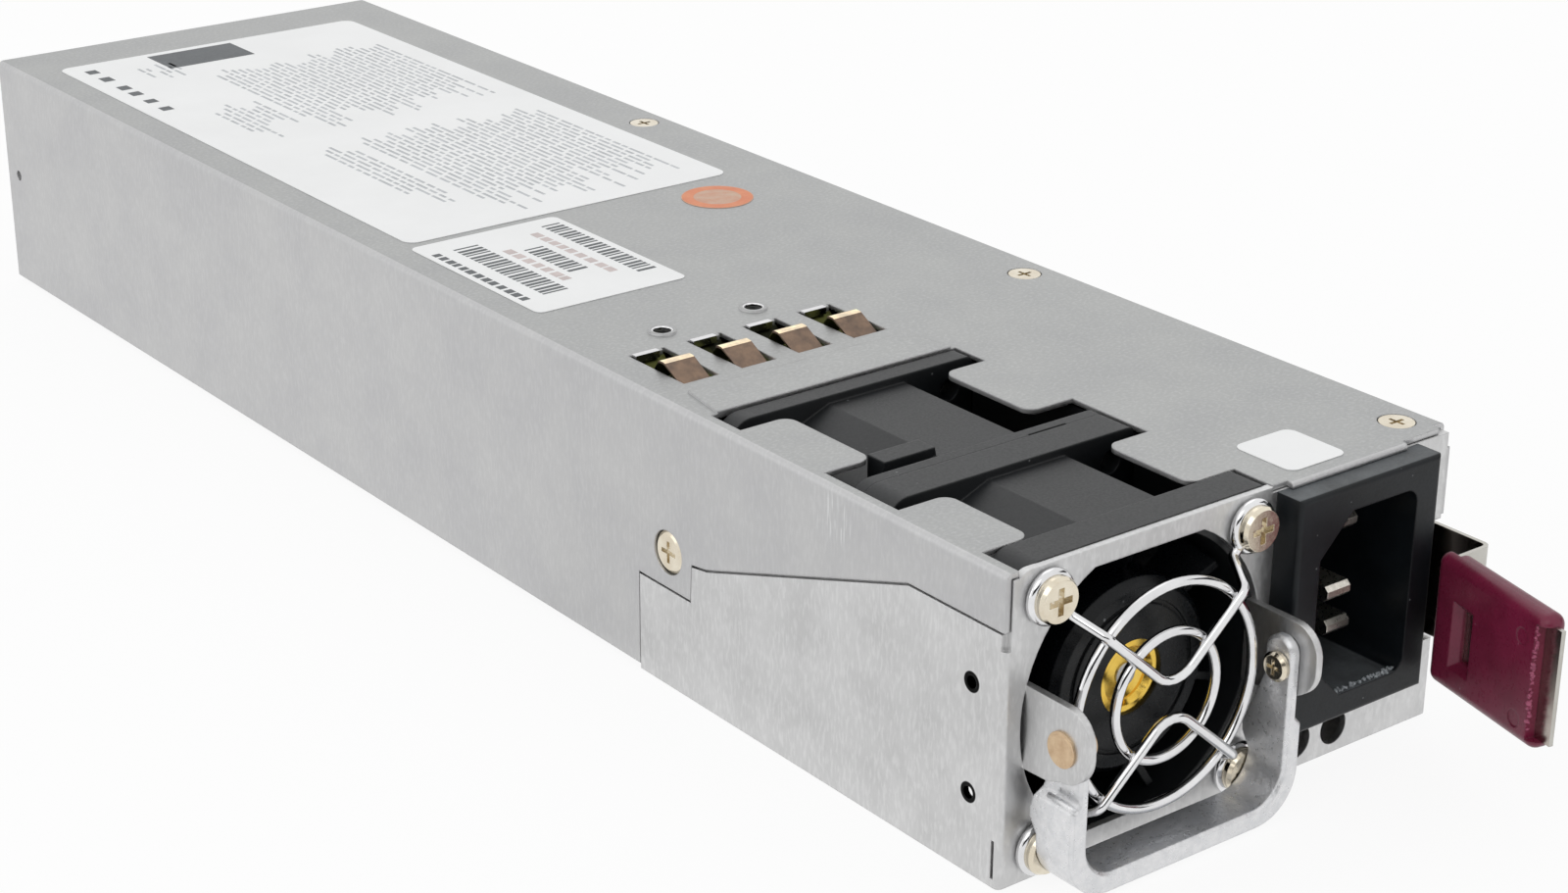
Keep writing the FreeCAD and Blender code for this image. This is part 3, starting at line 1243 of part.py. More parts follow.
def make_transformer():
    core = SubPart("transformer_core")
    base = BOARD_TOP + 1.0
    x = -10.0
    core.pad("core", "YZ", x - 13.0, x + 13.0, rectangle(206.0, base, 238.0, base + 27.0),
             rectangle(210.5, base + 5.0, 217.0, base + 22.0), rectangle(227.0, base + 5.0, 233.5, base + 22.0))
    winding = SubPart("transformer_winding")
    winding.pad("winding", "XY", base + 5.3, base + 21.7,
                rectangle(x - 15.5, 210.8, x + 15.5, 233.2), rectangle(x - 13.2, 216.8, x + 13.2, 227.2))
    return core


def make_box_part(label, x, y, width, depth, height, bevel=0.8):
    """A block-shaped component standing on the board, with bevelled edges."""
    part = SubPart(label)
    part.pad("block", "XY", BOARD_TOP, BOARD_TOP + height, rectangle(x, y, x + width, y + depth))
    top = number_of(BOARD_TOP) + height
    part.fillet("edges", bevel, lambda edge, middle: along_z(edge) or near(middle.z, top), "Chamfer")
    return part


def make_electronics():
    make_board()
    make_bulk_capacitors()
    make_transformer()
    make_toroid("pfc_choke", 20.0, 118.0, 9.2, 4.4, True)
    make_toroid("filter_choke", 20.5, 44.0, 7.0, 4.0, False)
    make_box_part("filter_capacitor", 9.0, 60.0, 23.0, 12.0, 18.0)
    make_box_part("inrush_relay", 10.0, 78.0, 18.0, 12.0, 15.0)
    make_heatsink("primary_heatsink", 3.0, 132.0, 196.0, 6, 4.2)
    make_heatsink("secondary_heatsink", 12.0, 204.0, 250.0, 6, 4.2)
    make_can_group("output_capacitors", 4.0, 20.0,
                   [(-28.0, 246.0), (-19.0, 246.0), (-10.0, 246.0), (-1.0, 246.0), (-28.0, 255.0), (-19.0, 255.0),
                    (-10.0, 255.0), (-1.0, 255.0)])
    control = SubPart("control_board")
    control.pad("card", "YZ", 27.0, 28.2, rectangle(136.0, BOARD_TOP, 198.0, BOARD_TOP + 26.0))
    control.pad("chip", "YZ", 24.4, 27.0, rectangle(150.0, BOARD_TOP + 8.0, 162.0, BOARD_TOP + 20.0))


def check_and_export(labels):
    """Stop on any failed object or bad shape, then write one STEP file for each sub-part."""
    doc.recompute()
    faults = [item.Name for item in doc.Objects if {"Invalid", "Error"} & set(item.State)]
    if faults:
        raise RuntimeError(f"failed objects: {faults}")
    os.makedirs("parts", exist_ok=True)
    for label in labels:
        shape = doc.getObjectsByLabel(label)[0].Shape
        if shape.isNull() or not shape.isValid() or not shape.Solids:
            raise RuntimeError(f"bad shape: {label}")
        shape.exportStep(f"parts/{label}.step")
        print(f"{label}: {len(shape.Solids)} solid(s), {shape.Volume:.1f} mm3")


def main():
    make_chassis()
    make_cover()
    make_rear_panel()
    make_fans()
    make_guard()
    make_guard_screws()
    make_cover_screws()
    make_side_screw()
    make_handle()
    make_handle_rivet()
    make_pivot_screw()
    make_inlet()
    make_latch()
    make_fingers()
    make_electronics()
    bodies = [item.Label for item in doc.Objects if item.TypeId == "PartDesign::Body"]
    check_and_export(bodies + ["fan_guard"])


main()
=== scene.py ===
"""Studio scene of a hot swap server power supply.

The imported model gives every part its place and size. This script gives each part its finish, adds
the labels and the small marks of manufacture, and sets up the floor, the lamps and the camera.
"""

from __future__ import annotations

import logging
import math
import random
from dataclasses import dataclass
from enum import Enum

import bmesh
import bpy
from mathutils import Matrix, Vector

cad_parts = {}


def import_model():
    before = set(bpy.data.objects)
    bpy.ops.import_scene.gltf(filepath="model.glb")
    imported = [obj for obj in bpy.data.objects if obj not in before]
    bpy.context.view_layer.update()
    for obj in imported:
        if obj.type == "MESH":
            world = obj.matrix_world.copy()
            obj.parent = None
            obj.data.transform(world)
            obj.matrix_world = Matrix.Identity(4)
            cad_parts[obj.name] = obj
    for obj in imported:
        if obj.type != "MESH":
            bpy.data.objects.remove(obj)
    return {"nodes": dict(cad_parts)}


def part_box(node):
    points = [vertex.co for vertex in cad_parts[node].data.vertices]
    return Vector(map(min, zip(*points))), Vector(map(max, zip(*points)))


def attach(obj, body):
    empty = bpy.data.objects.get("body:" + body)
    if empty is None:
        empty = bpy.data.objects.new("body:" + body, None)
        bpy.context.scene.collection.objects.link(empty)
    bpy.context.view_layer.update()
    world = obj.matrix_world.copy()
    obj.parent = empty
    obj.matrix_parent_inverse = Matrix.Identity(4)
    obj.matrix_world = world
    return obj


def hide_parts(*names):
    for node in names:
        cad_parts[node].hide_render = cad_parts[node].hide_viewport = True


Tree = bpy.types.NodeTree
Node = bpy.types.Node
Socket = bpy.types.NodeSocket
Material = bpy.types.Material
Thing = bpy.types.Object
Shape = bmesh.types.BMesh
Pair = tuple[float, float]
Triple = tuple[float, float, float]
Quad = tuple[float, float, float, float]

LOG = logging.getLogger("power_supply")
MM = 0.001
SHARP_DEGREES = 32.0  # edges of CAD nodes that turn by more than this stay sharp
METAL_FROM = 0.5  # a finish at least this metallic keeps the default index of refraction
DARKEST = 0.001  # no colour is divided by less
LEVEL_COSINE = 0.999  # a face whose normal rises more than this is level
HEIGHT_DIGITS = 5  # faces whose heights agree to 0.01 mm count as one
UP: Triple = (0.0, 0.0, 1.0)
LEFT: Triple = (-1.0, 0.0, 0.0)
WHITE: Quad = (1.0, 1.0, 1.0, 1.0)

# Sockets of the colour form of a Mix node.
MIX_SHARE, MIX_UNDER, MIX_OVER, MIX_RESULT = 0, 6, 7, 2


# ---------------------------------------------------------------------------------------------
# Colour and shader helpers


def linear_from_hex(code: str) -> Quad:
    """Turn an sRGB hex colour into linear values with full alpha.

    Args:
        code: a colour such as "#C0C1C1".

    Returns:
        Linear red, green, blue and an alpha of 1.
    """
    values = [int(code[index:index + 2], 16) / 255 for index in (1, 3, 5)]
    linear = [v / 12.92 if v <= 0.04045 else ((v + 0.055) / 1.055) ** 2.4 for v in values]
    return (linear[0], linear[1], linear[2], 1.0)


def scale_for(size_mm: float) -> float:
    """Give the texture scale whose pattern repeats about once in a real size in millimetres."""
    return 1000.0 / size_mm


def add_node(tree: Tree, kind: str, settings: dict | None = None,
             links: dict | None = None) -> Node:
    """Add a shader node, set it up and link its inputs.

    Args:
        tree: the node tree that takes the node.
        kind: the node's class name, after the prefix that all of them share.
        settings: attributes by name, and input values by name or number.
        links: output sockets by the name or number of the input they feed.

    Returns:
        The new node.
    """
    node = tree.nodes.new(f"ShaderNode{kind}")
    for key, value in (settings or {}).items():
        if isinstance(key, str) and key not in node.inputs:
            setattr(node, key, value)
        else:
            node.inputs[key].default_value = value
    for key, socket in (links or {}).items():
        tree.links.new(socket, node.inputs[key])
    return node


def empty_material(name: str) -> Material:
    """Make a material that holds only its surface shader and output.

    Args:
        name: its name.

    Returns:
        The material.
    """
    material = bpy.data.materials.new(name)
    material.use_nodes = True
    return material


@dataclass(frozen=True)
class Surface:
    """A material in the making.

    Attributes:
        tree: its node tree.
        shader: its surface shader.
        place: the socket that gives the surface position, in metres.
    """

    tree: Tree
    shader: Node
    place: Socket

    def lay_over(self, share: Socket, top: str | Socket) -> None:
        """Lay a colour over what the shader's base colour shows so far.

        Args:
            share: where the new colour shows, from 0 to 1.
            top: the new colour, as an sRGB hex value or as a socket.
        """
        base = self.shader.inputs["Base Color"]
        settings: dict = {"data_type": "RGBA"}
        links: dict = {MIX_SHARE: share, MIX_UNDER: base.links[0].from_socket}
        if isinstance(top, str):
            settings[MIX_OVER] = linear_from_hex(top)
        else:
            links[MIX_OVER] = top
        mixed = add_node(self.tree, "Mix", settings, links).outputs[MIX_RESULT]
        self.tree.links.new(mixed, base)

    def overlap(self, *masks: Socket) -> Socket:
        """Find where all of some masks show.

        Args:
            masks: each from 0 to 1.

        Returns:
            Their product.
        """
        share = masks[0]
        for mask in masks[1:]:
            share = add_node(self.tree, "Math", {"operation": "MULTIPLY"},
                             {0: share, 1: mask}).outputs[0]
        return share

    def noise(self, sizes_mm: Triple, detail: float, strength: float = 0.5) -> Socket:
        """Make noise whose spots have a real size along each axis.

        Args:
            sizes_mm: the spots' sizes along X, Y and Z.
            detail: how many finer layers it has.
            strength: how much each finer layer counts.

        Returns:
            The noise, from 0 to 1.
        """
        scales = [scale_for(size) for size in sizes_mm]
        sized = add_node(self.tree, "Mapping", {"Scale": scales}, {"Vector": self.place})
        return add_node(self.tree, "TexNoise",
                        {"Scale": 1.0, "Detail": detail, "Roughness": strength},
                        {"Vector": sized.outputs["Vector"]}).outputs["Fac"]


class Slot(Enum):
    """Names of material slots; nothing in this script reads them."""

    STEEL = "galvanised_steel"
    INLET = "inlet_plastic"
    GRIP = "grip_plastic"
    FILM = "film_clear"
    WIRE = "guard_wire"
    FINGER = "finger_copper"
    HANDLE = "cast_handle"


@dataclass(frozen=True)
class Finish:
    """What every finish has: cloudy colour, uneven gloss, a fine grain and softened edges.

    A real grain finer than about 0.3 mm doesn't show, so it is drawn that coarse.

    Attributes:
        name: the material's name.
        colour: sRGB hex colour of the clean surface.
        second: sRGB hex colour of its cloudy variation.
        cloud_mm: real size of that variation.
        metallic: 1 for bare metal, 0 otherwise.
        roughness: microfacet roughness at its smoothest.
        roughness_spread: how much rougher the roughest spots are.
        grain_mm: real size of the fine grain along X, Y and Z.
        relief_mm: height of the grain.
        edge_mm: radius that light sees on edges.
        ior: index of refraction, used where the surface isn't metal.
        sheen_level: strength of the mirror layer of a surface that isn't metal, where 0.5 is plain.
        painted_light_facing: the direction of the faces that get painted light or shade, or zero
            for none.
        painted_light_colour: sRGB hex colour of the painted light or shade on the faces that look
            that way.
        painted_light_band: cosines off that direction where the painted colour starts and is full.
        cloud_band: the part of the clouds' noise that leads from one colour to the other.
        grain_band: the part of the grain's noise that leads from smooth to rough.
    """

    name: str
    colour: str
    second: str
    cloud_mm: float = 12.0
    metallic: float = 0.0
    roughness: float = 0.5
    roughness_spread: float = 0.08
    grain_mm: Triple = (0.5, 0.5, 0.5)
    relief_mm: float = 0.01
    edge_mm: float = 0.2
    ior: float = 1.5
    sheen_level: float = 0.5
    painted_light_facing: Triple = (0.0, 0.0, 0.0)
    painted_light_colour: str = "#808080"
    painted_light_band: Pair = (0.93, 0.98)
    cloud_band: Pair = (0.35, 0.65)
    grain_band: Pair = (0.3, 0.7)

    def build(self) -> Material:
        """Make the material with its node tree.

        Returns:
            The finished material.
        """
        material = empty_material(self.name)
        tree = material.node_tree
        shader = tree.nodes["Principled BSDF"]
        shader.inputs["Metallic"].default_value = self.metallic
        if self.metallic < METAL_FROM:
            shader.inputs["IOR"].default_value = self.ior
            shader.inputs["Specular IOR Level"].default_value = self.sheen_level
        surface = Surface(tree, shader, add_node(tree, "TexCoord").outputs["Object"])
        self.lay_ground(surface)
        # painted light or shade on the faces that look one way
        if any(self.painted_light_facing):
            self.paint_light_by_facing(surface)
        self.complete(surface)
        return material

    def lay_ground(self, surface: Surface) -> None:
        """Link the cloudy colour, the uneven roughness and the grain.

        Args:
            surface: the material in the making.
        """
        tree, inputs = surface.tree, surface.shader.inputs
        cloud = surface.noise((self.cloud_mm,) * 3, detail=4.0, strength=0.6)
        share = add_node(tree, "MapRange",
                         {"From Min": self.cloud_band[0], "From Max": self.cloud_band[1]},
                         {"Value": cloud}).outputs["Result"]
        colour = add_node(tree, "Mix",
                          {"data_type": "RGBA", MIX_UNDER: linear_from_hex(self.colour),
                           MIX_OVER: linear_from_hex(self.second)}, {MIX_SHARE: share})
        grain = surface.noise(self.grain_mm, detail=3.0, strength=0.6)
        rough = add_node(tree, "MapRange",
                         {"From Min": self.grain_band[0], "From Max": self.grain_band[1],
                          "To Min": self.roughness,
                          "To Max": self.roughness + self.roughness_spread}, {"Value": grain})
        edge = add_node(tree, "Bevel", {"samples": 4, "Radius": self.edge_mm * MM})
        normal = add_node(tree, "Bump", {"Strength": 1.0, "Distance": self.relief_mm * MM},
                          {"Height": grain, "Normal": edge.outputs["Normal"]})
        tree.links.new(colour.outputs[MIX_RESULT], inputs["Base Color"])
        tree.links.new(rough.outputs["Result"], inputs["Roughness"])
        tree.links.new(normal.outputs["Normal"], inputs["Normal"])

    def paint_light_by_facing(self, surface: Surface) -> None:
        """Paint light or shade as a colour on the faces that look one way, with the same clouds.

        Args:
            surface: the material in the making.
        """
        tree = surface.tree
        normal = add_node(tree, "NewGeometry").outputs["Normal"]
        along = add_node(tree, "VectorMath", {"operation": "DOT_PRODUCT", 1: self.painted_light_facing},
                         {0: normal}).outputs["Value"]
        share = add_node(tree, "MapRange",
                         {"From Min": self.painted_light_band[0], "From Max": self.painted_light_band[1]},
                         {"Value": along}).outputs["Result"]
        plain = linear_from_hex(self.colour)
        wanted = linear_from_hex(self.painted_light_colour)
        factor = tuple(want / max(value, DARKEST) for want, value in zip(wanted[:3], plain[:3]))
        under = surface.shader.inputs["Base Color"].links[0].from_socket
        painted_light_node = add_node(tree, "VectorMath", {"operation": "MULTIPLY", 1: factor}, {0: under})
        surface.lay_over(share, painted_light_node.outputs[0])

    def complete(self, surface: Surface) -> None:
        """Add what only this finish has; the plain one has nothing more."""


@dataclass(frozen=True)
class ZincSheet(Finish):
    """Hot-dip galvanised sheet, skin-passed: satin grey, softly clouded, with pale rolled streaks.

    Attributes:
        streak: sRGB hex colour of the streaks.
        streak_amount: how strongly they show.
        streak_mm: their real size along X, Y and Z, upright on the sides.
        streak_band: the part of their noise where they fade in.
    """

    streak: str = "#E6E6E6"
    streak_amount: float = 0.13
    streak_mm: Triple = (0.6, 0.45, 1.6)
    streak_band: Pair = (0.48, 0.66)

    def complete(self, surface: Surface) -> None:
        """Add the streaks over the cloudy colour.

        Args:
            surface: the material in the making.
        """
        noise = surface.noise(self.streak_mm, detail=2.0)
        share = add_node(surface.tree, "MapRange",
                         {"From Min": self.streak_band[0], "From Max": self.streak_band[1],
                          "To Max": self.streak_amount}, {"Value": noise}).outputs["Result"]
        surface.lay_over(share, self.streak)


@dataclass(frozen=True)
class RubbedZincSheet(ZincSheet):
    """The cover's sheet, with the bright upright rubs that its side took near the front.

    Attributes:
        rub: sRGB hex colour of the rubs.
        rub_amount: how strongly they show.
        rub_mm: their real size along X, Y and Z; they are narrow and tall.
        rub_band: the part of their noise where they fade in.
        rub_low: lowest corner of the box that holds them, in metres.
        rub_high: its highest corner.
        rub_core: the share of the box, each way from its middle, where they are full.
    """

    rub: str = "#E2E3E3"
    rub_amount: float = 0.7
    rub_mm: Triple = (3.0, 0.24, 4.5)
    rub_band: Pair = (0.58, 0.68)
    rub_low: Triple = (0.0, 0.0, 0.0)
    rub_high: Triple = (0.0, 0.0, 0.0)
    rub_core: float = 0.3

    def complete(self, surface: Surface) -> None:
        """Add the rubs, held inside their box.

        Args:
            surface: the material in the making.
        """
        super().complete(surface)
        tree = surface.tree
        parts = add_node(tree, "SeparateXYZ", links={"Vector": surface.place}).outputs
        masks = []
        for axis, low, high in zip("XYZ", self.rub_low, self.rub_high):
            away = add_node(tree, "Math", {"operation": "SUBTRACT", 1: (low + high) / 2},
                            {0: parts[axis]}).outputs[0]
            distance = add_node(tree, "Math", {"operation": "ABSOLUTE"}, {0: away}).outputs[0]
            masks.append(add_node(tree, "MapRange",
                                  {"From Min": (high - low) * self.rub_core,
                                   "From Max": (high - low) / 2, "To Min": 1.0, "To Max": 0.0},
                                  {"Value": distance}).outputs["Result"])
        noise = surface.noise(self.rub_mm, detail=1.0)
        lines = add_node(tree, "MapRange",
                         {"From Min": self.rub_band[0], "From Max": self.rub_band[1],
                          "To Max": self.rub_amount}, {"Value": noise}).outputs["Result"]
        surface.lay_over(surface.overlap(*masks, lines), self.rub)


@dataclass(frozen=True)
class PiercedZincSheet(ZincSheet):
    """The chassis's sheet, with painted shade in a disc round each of two holes in its left plate.

    Attributes:
        holes: each hole's Y and Z, in metres.
        hole_radius: the radius of the painted shade, in metres.
        hole_edge: half the width of their soft edge, in metres.
        painted_hole_shade: sRGB hex colour of the shade painted in them.
        left_of: only what lies further left than this X is darkened.
    """

    holes: tuple[Pair, ...] = ()
    hole_radius: float = 0.001
    hole_edge: float = 0.00005
    painted_hole_shade: str = "#040404"
    left_of: float = -0.03

    def complete(self, surface: Surface) -> None:
        """Paint shade in a disc round each hole on the left plate.

        Args:
            surface: the material in the making.
        """
        super().complete(surface)
        tree = surface.tree
        parts = add_node(tree, "SeparateXYZ", links={"Vector": surface.place}).outputs
        left = add_node(tree, "Math", {"operation": "LESS_THAN", 1: self.left_of},
                        {0: parts["X"]}).outputs[0]
        flat = add_node(tree, "CombineXYZ", links={"Y": parts["Y"], "Z": parts["Z"]})
        for y, z in self.holes:
            away = add_node(tree, "VectorMath", {"operation": "DISTANCE", 1: (0.0, y, z)},
                            {0: flat.outputs["Vector"]}).outputs["Value"]
            inside = add_node(tree, "MapRange",
                              {"From Min": self.hole_radius - self.hole_edge,
                               "From Max": self.hole_radius + self.hole_edge,
                               "To Min": 1.0, "To Max": 0.0}, {"Value": away}).outputs["Result"]
            surface.lay_over(surface.overlap(inside, left), self.painted_hole_shade)


@dataclass(frozen=True)
class DustyPlastic(Finish):
    """A moulding that has caught dust: even colour with sparse pale specks.

    Attributes:
        dust: sRGB hex colour of the specks.
        dust_amount: how strongly they show.
        cell_mm: real size of the cells, which hold one speck at most.
        dust_band: where a speck fades out, as a share of its cell.
        dust_from: only cells whose random value is above this hold one.
    """

    dust: str = "#8E9092"
    dust_amount: float = 0.6
    cell_mm: float = 2.0
    dust_band: Pair = (0.03, 0.09)
    dust_from: float = 0.72

    def complete(self, surface: Surface) -> None:
        """Add the specks, each a small spot in a cell of its own.

        Args:
            surface: the material in the making.
        """
        tree = surface.tree
        cells = add_node(tree, "TexVoronoi",
                         {"Scale": scale_for(self.cell_mm), "Randomness": 1.0},
                         {"Vector": surface.place}).outputs
        spot = add_node(tree, "MapRange",
                        {"From Min": self.dust_band[0], "From Max": self.dust_band[1],
                         "To Min": self.dust_amount, "To Max": 0.0},
                        {"Value": cells["Distance"]}).outputs["Result"]
        chosen = add_node(tree, "SeparateColor", links={"Color": cells["Color"]}).outputs["Red"]
        few = add_node(tree, "Math", {"operation": "GREATER_THAN", 1: self.dust_from},
                       {0: chosen}).outputs[0]
        surface.lay_over(surface.overlap(spot, few), self.dust)


@dataclass(frozen=True)
class SprungBronze(Finish):
    """Bronze spring fingers: aged fronts, and backs painted in shade with lit olive patches.

    Attributes:
        crest_end: the Y where the crests end, in metres.
        crest_fade: how far behind it the backs' colour is full, in metres.
        shade: sRGB hex colour of the backs in shadow.
        olive: sRGB hex colour of their lit patches.
        patch_mm: real size of those patches.
        patch_band: the part of their noise that leads from shade to olive.
    """

    crest_end: float = 0.0
    crest_fade: float = 0.0003
    shade: str = "#1B1C12"
    olive: str = "#4A4C28"
    patch_mm: float = 4.0
    patch_band: Pair = (0.46, 0.6)

    def complete(self, surface: Surface) -> None:
        """Paint shade, with lit olive patches, on what lies behind the crests.

        Args:
            surface: the material in the making.
        """
        tree = surface.tree
        along = add_node(tree, "SeparateXYZ", links={"Vector": surface.place}).outputs["Y"]
        behind = add_node(tree, "MapRange",
                          {"From Min": self.crest_end,
                           "From Max": self.crest_end + self.crest_fade},
                          {"Value": along}).outputs["Result"]
        patch = surface.noise((self.patch_mm,) * 3, detail=1.0)
        lit = add_node(tree, "MapRange",
                       {"From Min": self.patch_band[0], "From Max": self.patch_band[1]},
                       {"Value": patch}).outputs["Result"]
        back = add_node(tree, "Mix", {"data_type": "RGBA", MIX_UNDER: linear_from_hex(self.shade),
                                      MIX_OVER: linear_from_hex(self.olive)}, {MIX_SHARE: lit})
        # painted shade, with painted patches of olive light, behind the crests
        surface.lay_over(behind, back.outputs[MIX_RESULT])


# ---------------------------------------------------------------------------------------------
# The finishes of this power supply

# Hot-dip zinc on steel, rolled smooth: a quiet satin grey, with painted shade on the faces that
# look up.
COVER_SHEET = RubbedZincSheet(
    "skin_passed_zinc_cover", "#C0C0C1", "#C6C6C6", cloud_mm=11.0, metallic=1.0, roughness=0.4,
    roughness_spread=0.1, grain_mm=(0.5, 0.35, 0.5), relief_mm=0.006, edge_mm=0.35, painted_light_facing=UP,
    painted_light_colour="#A7A8A8", rub_low=(-0.038, -0.1065, 0.0325), rub_high=(-0.036, -0.0975, 0.0395))
# The same sheet from a brighter coil: its streaks and its uneven gloss show more.
CHASSIS_SHEET = PiercedZincSheet(
    "skin_passed_zinc_chassis", "#C8C8C8", "#D3D3D3", cloud_mm=9.0, metallic=1.0, roughness=0.38,
    roughness_spread=0.14, grain_mm=(0.5, 0.4, 0.8), relief_mm=0.008, edge_mm=0.25,
    # painted shade: a dark disc round each of the two holes in the left plate
    streak="#EFEFEF", streak_amount=0.26, holes=((-0.1269, 0.0105), (-0.1269, 0.0247)),
    hole_radius=0.00132)
# Glass-filled polyester, moulded: charcoal, with a dull sheen from the fibres under its skin.
FAN_PLASTIC = DustyPlastic(
    "glass_filled_pbt_black", "#0B0E10", "#101316", cloud_mm=7.0, roughness=0.4,
    roughness_spread=0.12, grain_mm=(0.35, 0.35, 0.35), relief_mm=0.008, edge_mm=0.35,
    sheen_level=0.55)
# The same polyester from a polished tool: nearly black, with soft glints on hub and blades.
ROTOR_PLASTIC = DustyPlastic(
    "moulded_pbt_rotor", "#07090B", "#0C0F12", cloud_mm=5.0, roughness=0.24, roughness_spread=0.1,
    grain_mm=(0.6, 0.6, 0.6), relief_mm=0.003, edge_mm=0.3, cell_mm=2.8, sheen_level=0.24)
# Moulded nylon: satin black, with a grey painted highlight on the ledges that look up.
INLET_PLASTIC = DustyPlastic(
    "moulded_nylon_inlet", "#0B0E11", "#12161A", cloud_mm=5.0, roughness=0.34,
    roughness_spread=0.14, grain_mm=(0.4, 0.4, 0.4), relief_mm=0.008, edge_mm=0.3, cell_mm=1.8,
    sheen_level=0.26, painted_light_facing=UP, painted_light_colour="#424547")
# Nylon torn thin at the parting line: it scatters light, so it looks pale grey.
INLET_FLASH = Finish("torn_nylon_flash", "#A2A8AC", "#767C80", cloud_mm=0.6, edge_mm=0.05)
# Dyed and moulded from a fine-blasted tool: deep maroon with a waxy gloss.
GRIP_PLASTIC = DustyPlastic(
    "moulded_maroon_grip", "#661A33", "#741F3C", cloud_mm=6.0, roughness=0.24,
    roughness_spread=0.12, grain_mm=(0.7, 0.7, 0.7), relief_mm=0.006, edge_mm=0.3, dust="#B08A98",
    sheen_level=0.4)
# The grip's plastic torn thin: a paler rose.
GRIP_FLASH = Finish("torn_maroon_flash", "#A4526E", "#8A3A58", cloud_mm=0.8, roughness=0.4,
                    edge_mm=0.05)
# Turned and left bare: warm yellow with sharp highlights.
BRASS = Finish("turned_brass", "#EBC964", "#E0B84E", cloud_mm=4.0, metallic=1.0, roughness=0.12,
               roughness_spread=0.04, relief_mm=0.0, edge_mm=0.12)
# Drawn, welded and plated: a mirror that shows white walls and the thin dark lines between them.
CHROME_WIRE = Finish("bright_chrome_wire", "#E6E6E7", "#DADADB", cloud_mm=4.0, metallic=1.0,
                     roughness=0.09, roughness_spread=0.05, grain_mm=(1.6, 1.6, 1.6),
                     relief_mm=0.0, edge_mm=0.05)
# Forged heads under nickel: bright, slightly warm.
NICKEL_SCREW = Finish("bright_nickel_screw", "#E6DECC", "#D8CDB8", cloud_mm=3.0, metallic=1.0,
                      roughness=0.13, roughness_spread=0.08, relief_mm=0.001, edge_mm=0.1)
# Steel rivets dipped in a yellow passivate: dull tan.
TAN_RIVET = Finish("passivated_rivet", "#DCC3A2", "#C9AC8C", cloud_mm=1.4, metallic=1.0,
                   roughness=0.36, roughness_spread=0.12, grain_mm=(0.3, 0.3, 0.3),
                   relief_mm=0.004, edge_mm=0.1)
# Die cast and tumbled: pale, softly pitted, with a glitter in its grain; painted shade on its tops.
CAST_ALUMINIUM = Finish("tumbled_cast_aluminium", "#E6E6E7", "#D9DADC", cloud_mm=1.2,
                        metallic=0.7, roughness=0.24, roughness_spread=0.2,
                        grain_mm=(0.8, 0.8, 0.8), relief_mm=0.075, edge_mm=0.35, painted_light_facing=UP,
                        painted_light_colour="#D4D6DA")
# Cold rolled spring strip: a smooth grey mirror, drawn out along the strip.
# its left faces carry a darker, warmer painted reflection
STAINLESS_STRIP = Finish("rolled_stainless_strip", "#C4C2BC", "#B8B5AE", cloud_mm=5.0,
                         metallic=1.0, roughness=0.2, roughness_spread=0.06,
                         grain_mm=(1.2, 4.0, 1.2), relief_mm=0.0, edge_mm=0.1, painted_light_facing=LEFT,
                         painted_light_colour="#B8AEA6")
# Stamped and aged: brown bronze, with a pale painted highlight on the faces that look up.
BRONZE_FINGER = SprungBronze("aged_beryllium_copper", "#695B52", "#857060", cloud_mm=1.8,
                             metallic=1.0, roughness=0.34, roughness_spread=0.12,
                             grain_mm=(0.4, 0.6, 0.4), relief_mm=0.001, edge_mm=0.1, painted_light_facing=UP,
                             painted_light_colour="#E6D6BC", crest_end=-0.0579)
# Barrel plated: a soft, slightly mottled white metal.
DULL_NICKEL = Finish("dull_nickel_blade", "#EAE6DC", "#D0CCC2", cloud_mm=1.6, metallic=1.0,
                     roughness=0.24, roughness_spread=0.15, grain_mm=(0.4, 0.4, 0.4),
                     relief_mm=0.006, edge_mm=0.15)
# Extruded film, matt on both sides: a flat black.
BLACK_SHEET = Finish("black_insulating_sheet", "#0A0B0C", "#0E0F11", cloud_mm=8.0, roughness=0.6,
                     sheen_level=0.2)
# Ground round: even grey with a soft gloss.
GROUND_STEEL = Finish("ground_steel", "#C8C8C8", "#BEBEBE", cloud_mm=3.0, metallic=1.0,
                      roughness=0.25)
# Stamped iron leaves under varnish: brown, with the leaves' edges as fine steps.
LAMINATED_IRON = Finish("varnished_laminations", "#5A4A3E", "#6E4A30", cloud_mm=1.5, metallic=0.3,
                        grain_mm=(2.0, 0.35, 2.0), relief_mm=0.05)
# Glass cloth in epoxy under green lacquer: glossy, with the weave just showing.
GREEN_BOARD = Finish("glass_epoxy_board", "#1F5A37", "#256B42", cloud_mm=3.0, roughness=0.35,
                     grain_mm=(0.6, 0.6, 0.6), relief_mm=0.02)
# Thin gold over nickel: warm and even.
GOLD_CONTACT = Finish("gold_flash", "#E0B860", "#D8AE55", cloud_mm=3.0, metallic=1.0,
                      roughness=0.25)
# Insulating film seen in the slots: olive, with pale cloudy patches of painted light.
OLIVE_FILM = Finish("slot_film_painted_light", "#545A22", "#E2E68C", cloud_mm=3.5, roughness=0.4,
                    roughness_spread=0.1)
# Calendered aramid paper: dull straw yellow.
CLEAR_FILM = Finish("aramid_film", "#B9B45A", "#A9A44C", cloud_mm=8.0, roughness=0.4,
                    roughness_spread=0.1)
# Shrunk plastic over a can: glossy black.
CAN_SLEEVE = Finish("shrunk_sleeve", "#15161A", "#1D1F24", cloud_mm=6.0, roughness=0.25)
# Pressed and sintered: dull dark grey, slightly rough.
FERRITE = Finish("sintered_ferrite", "#3A3A3B", "#444445", cloud_mm=2.0, roughness=0.6,
                 relief_mm=0.02)
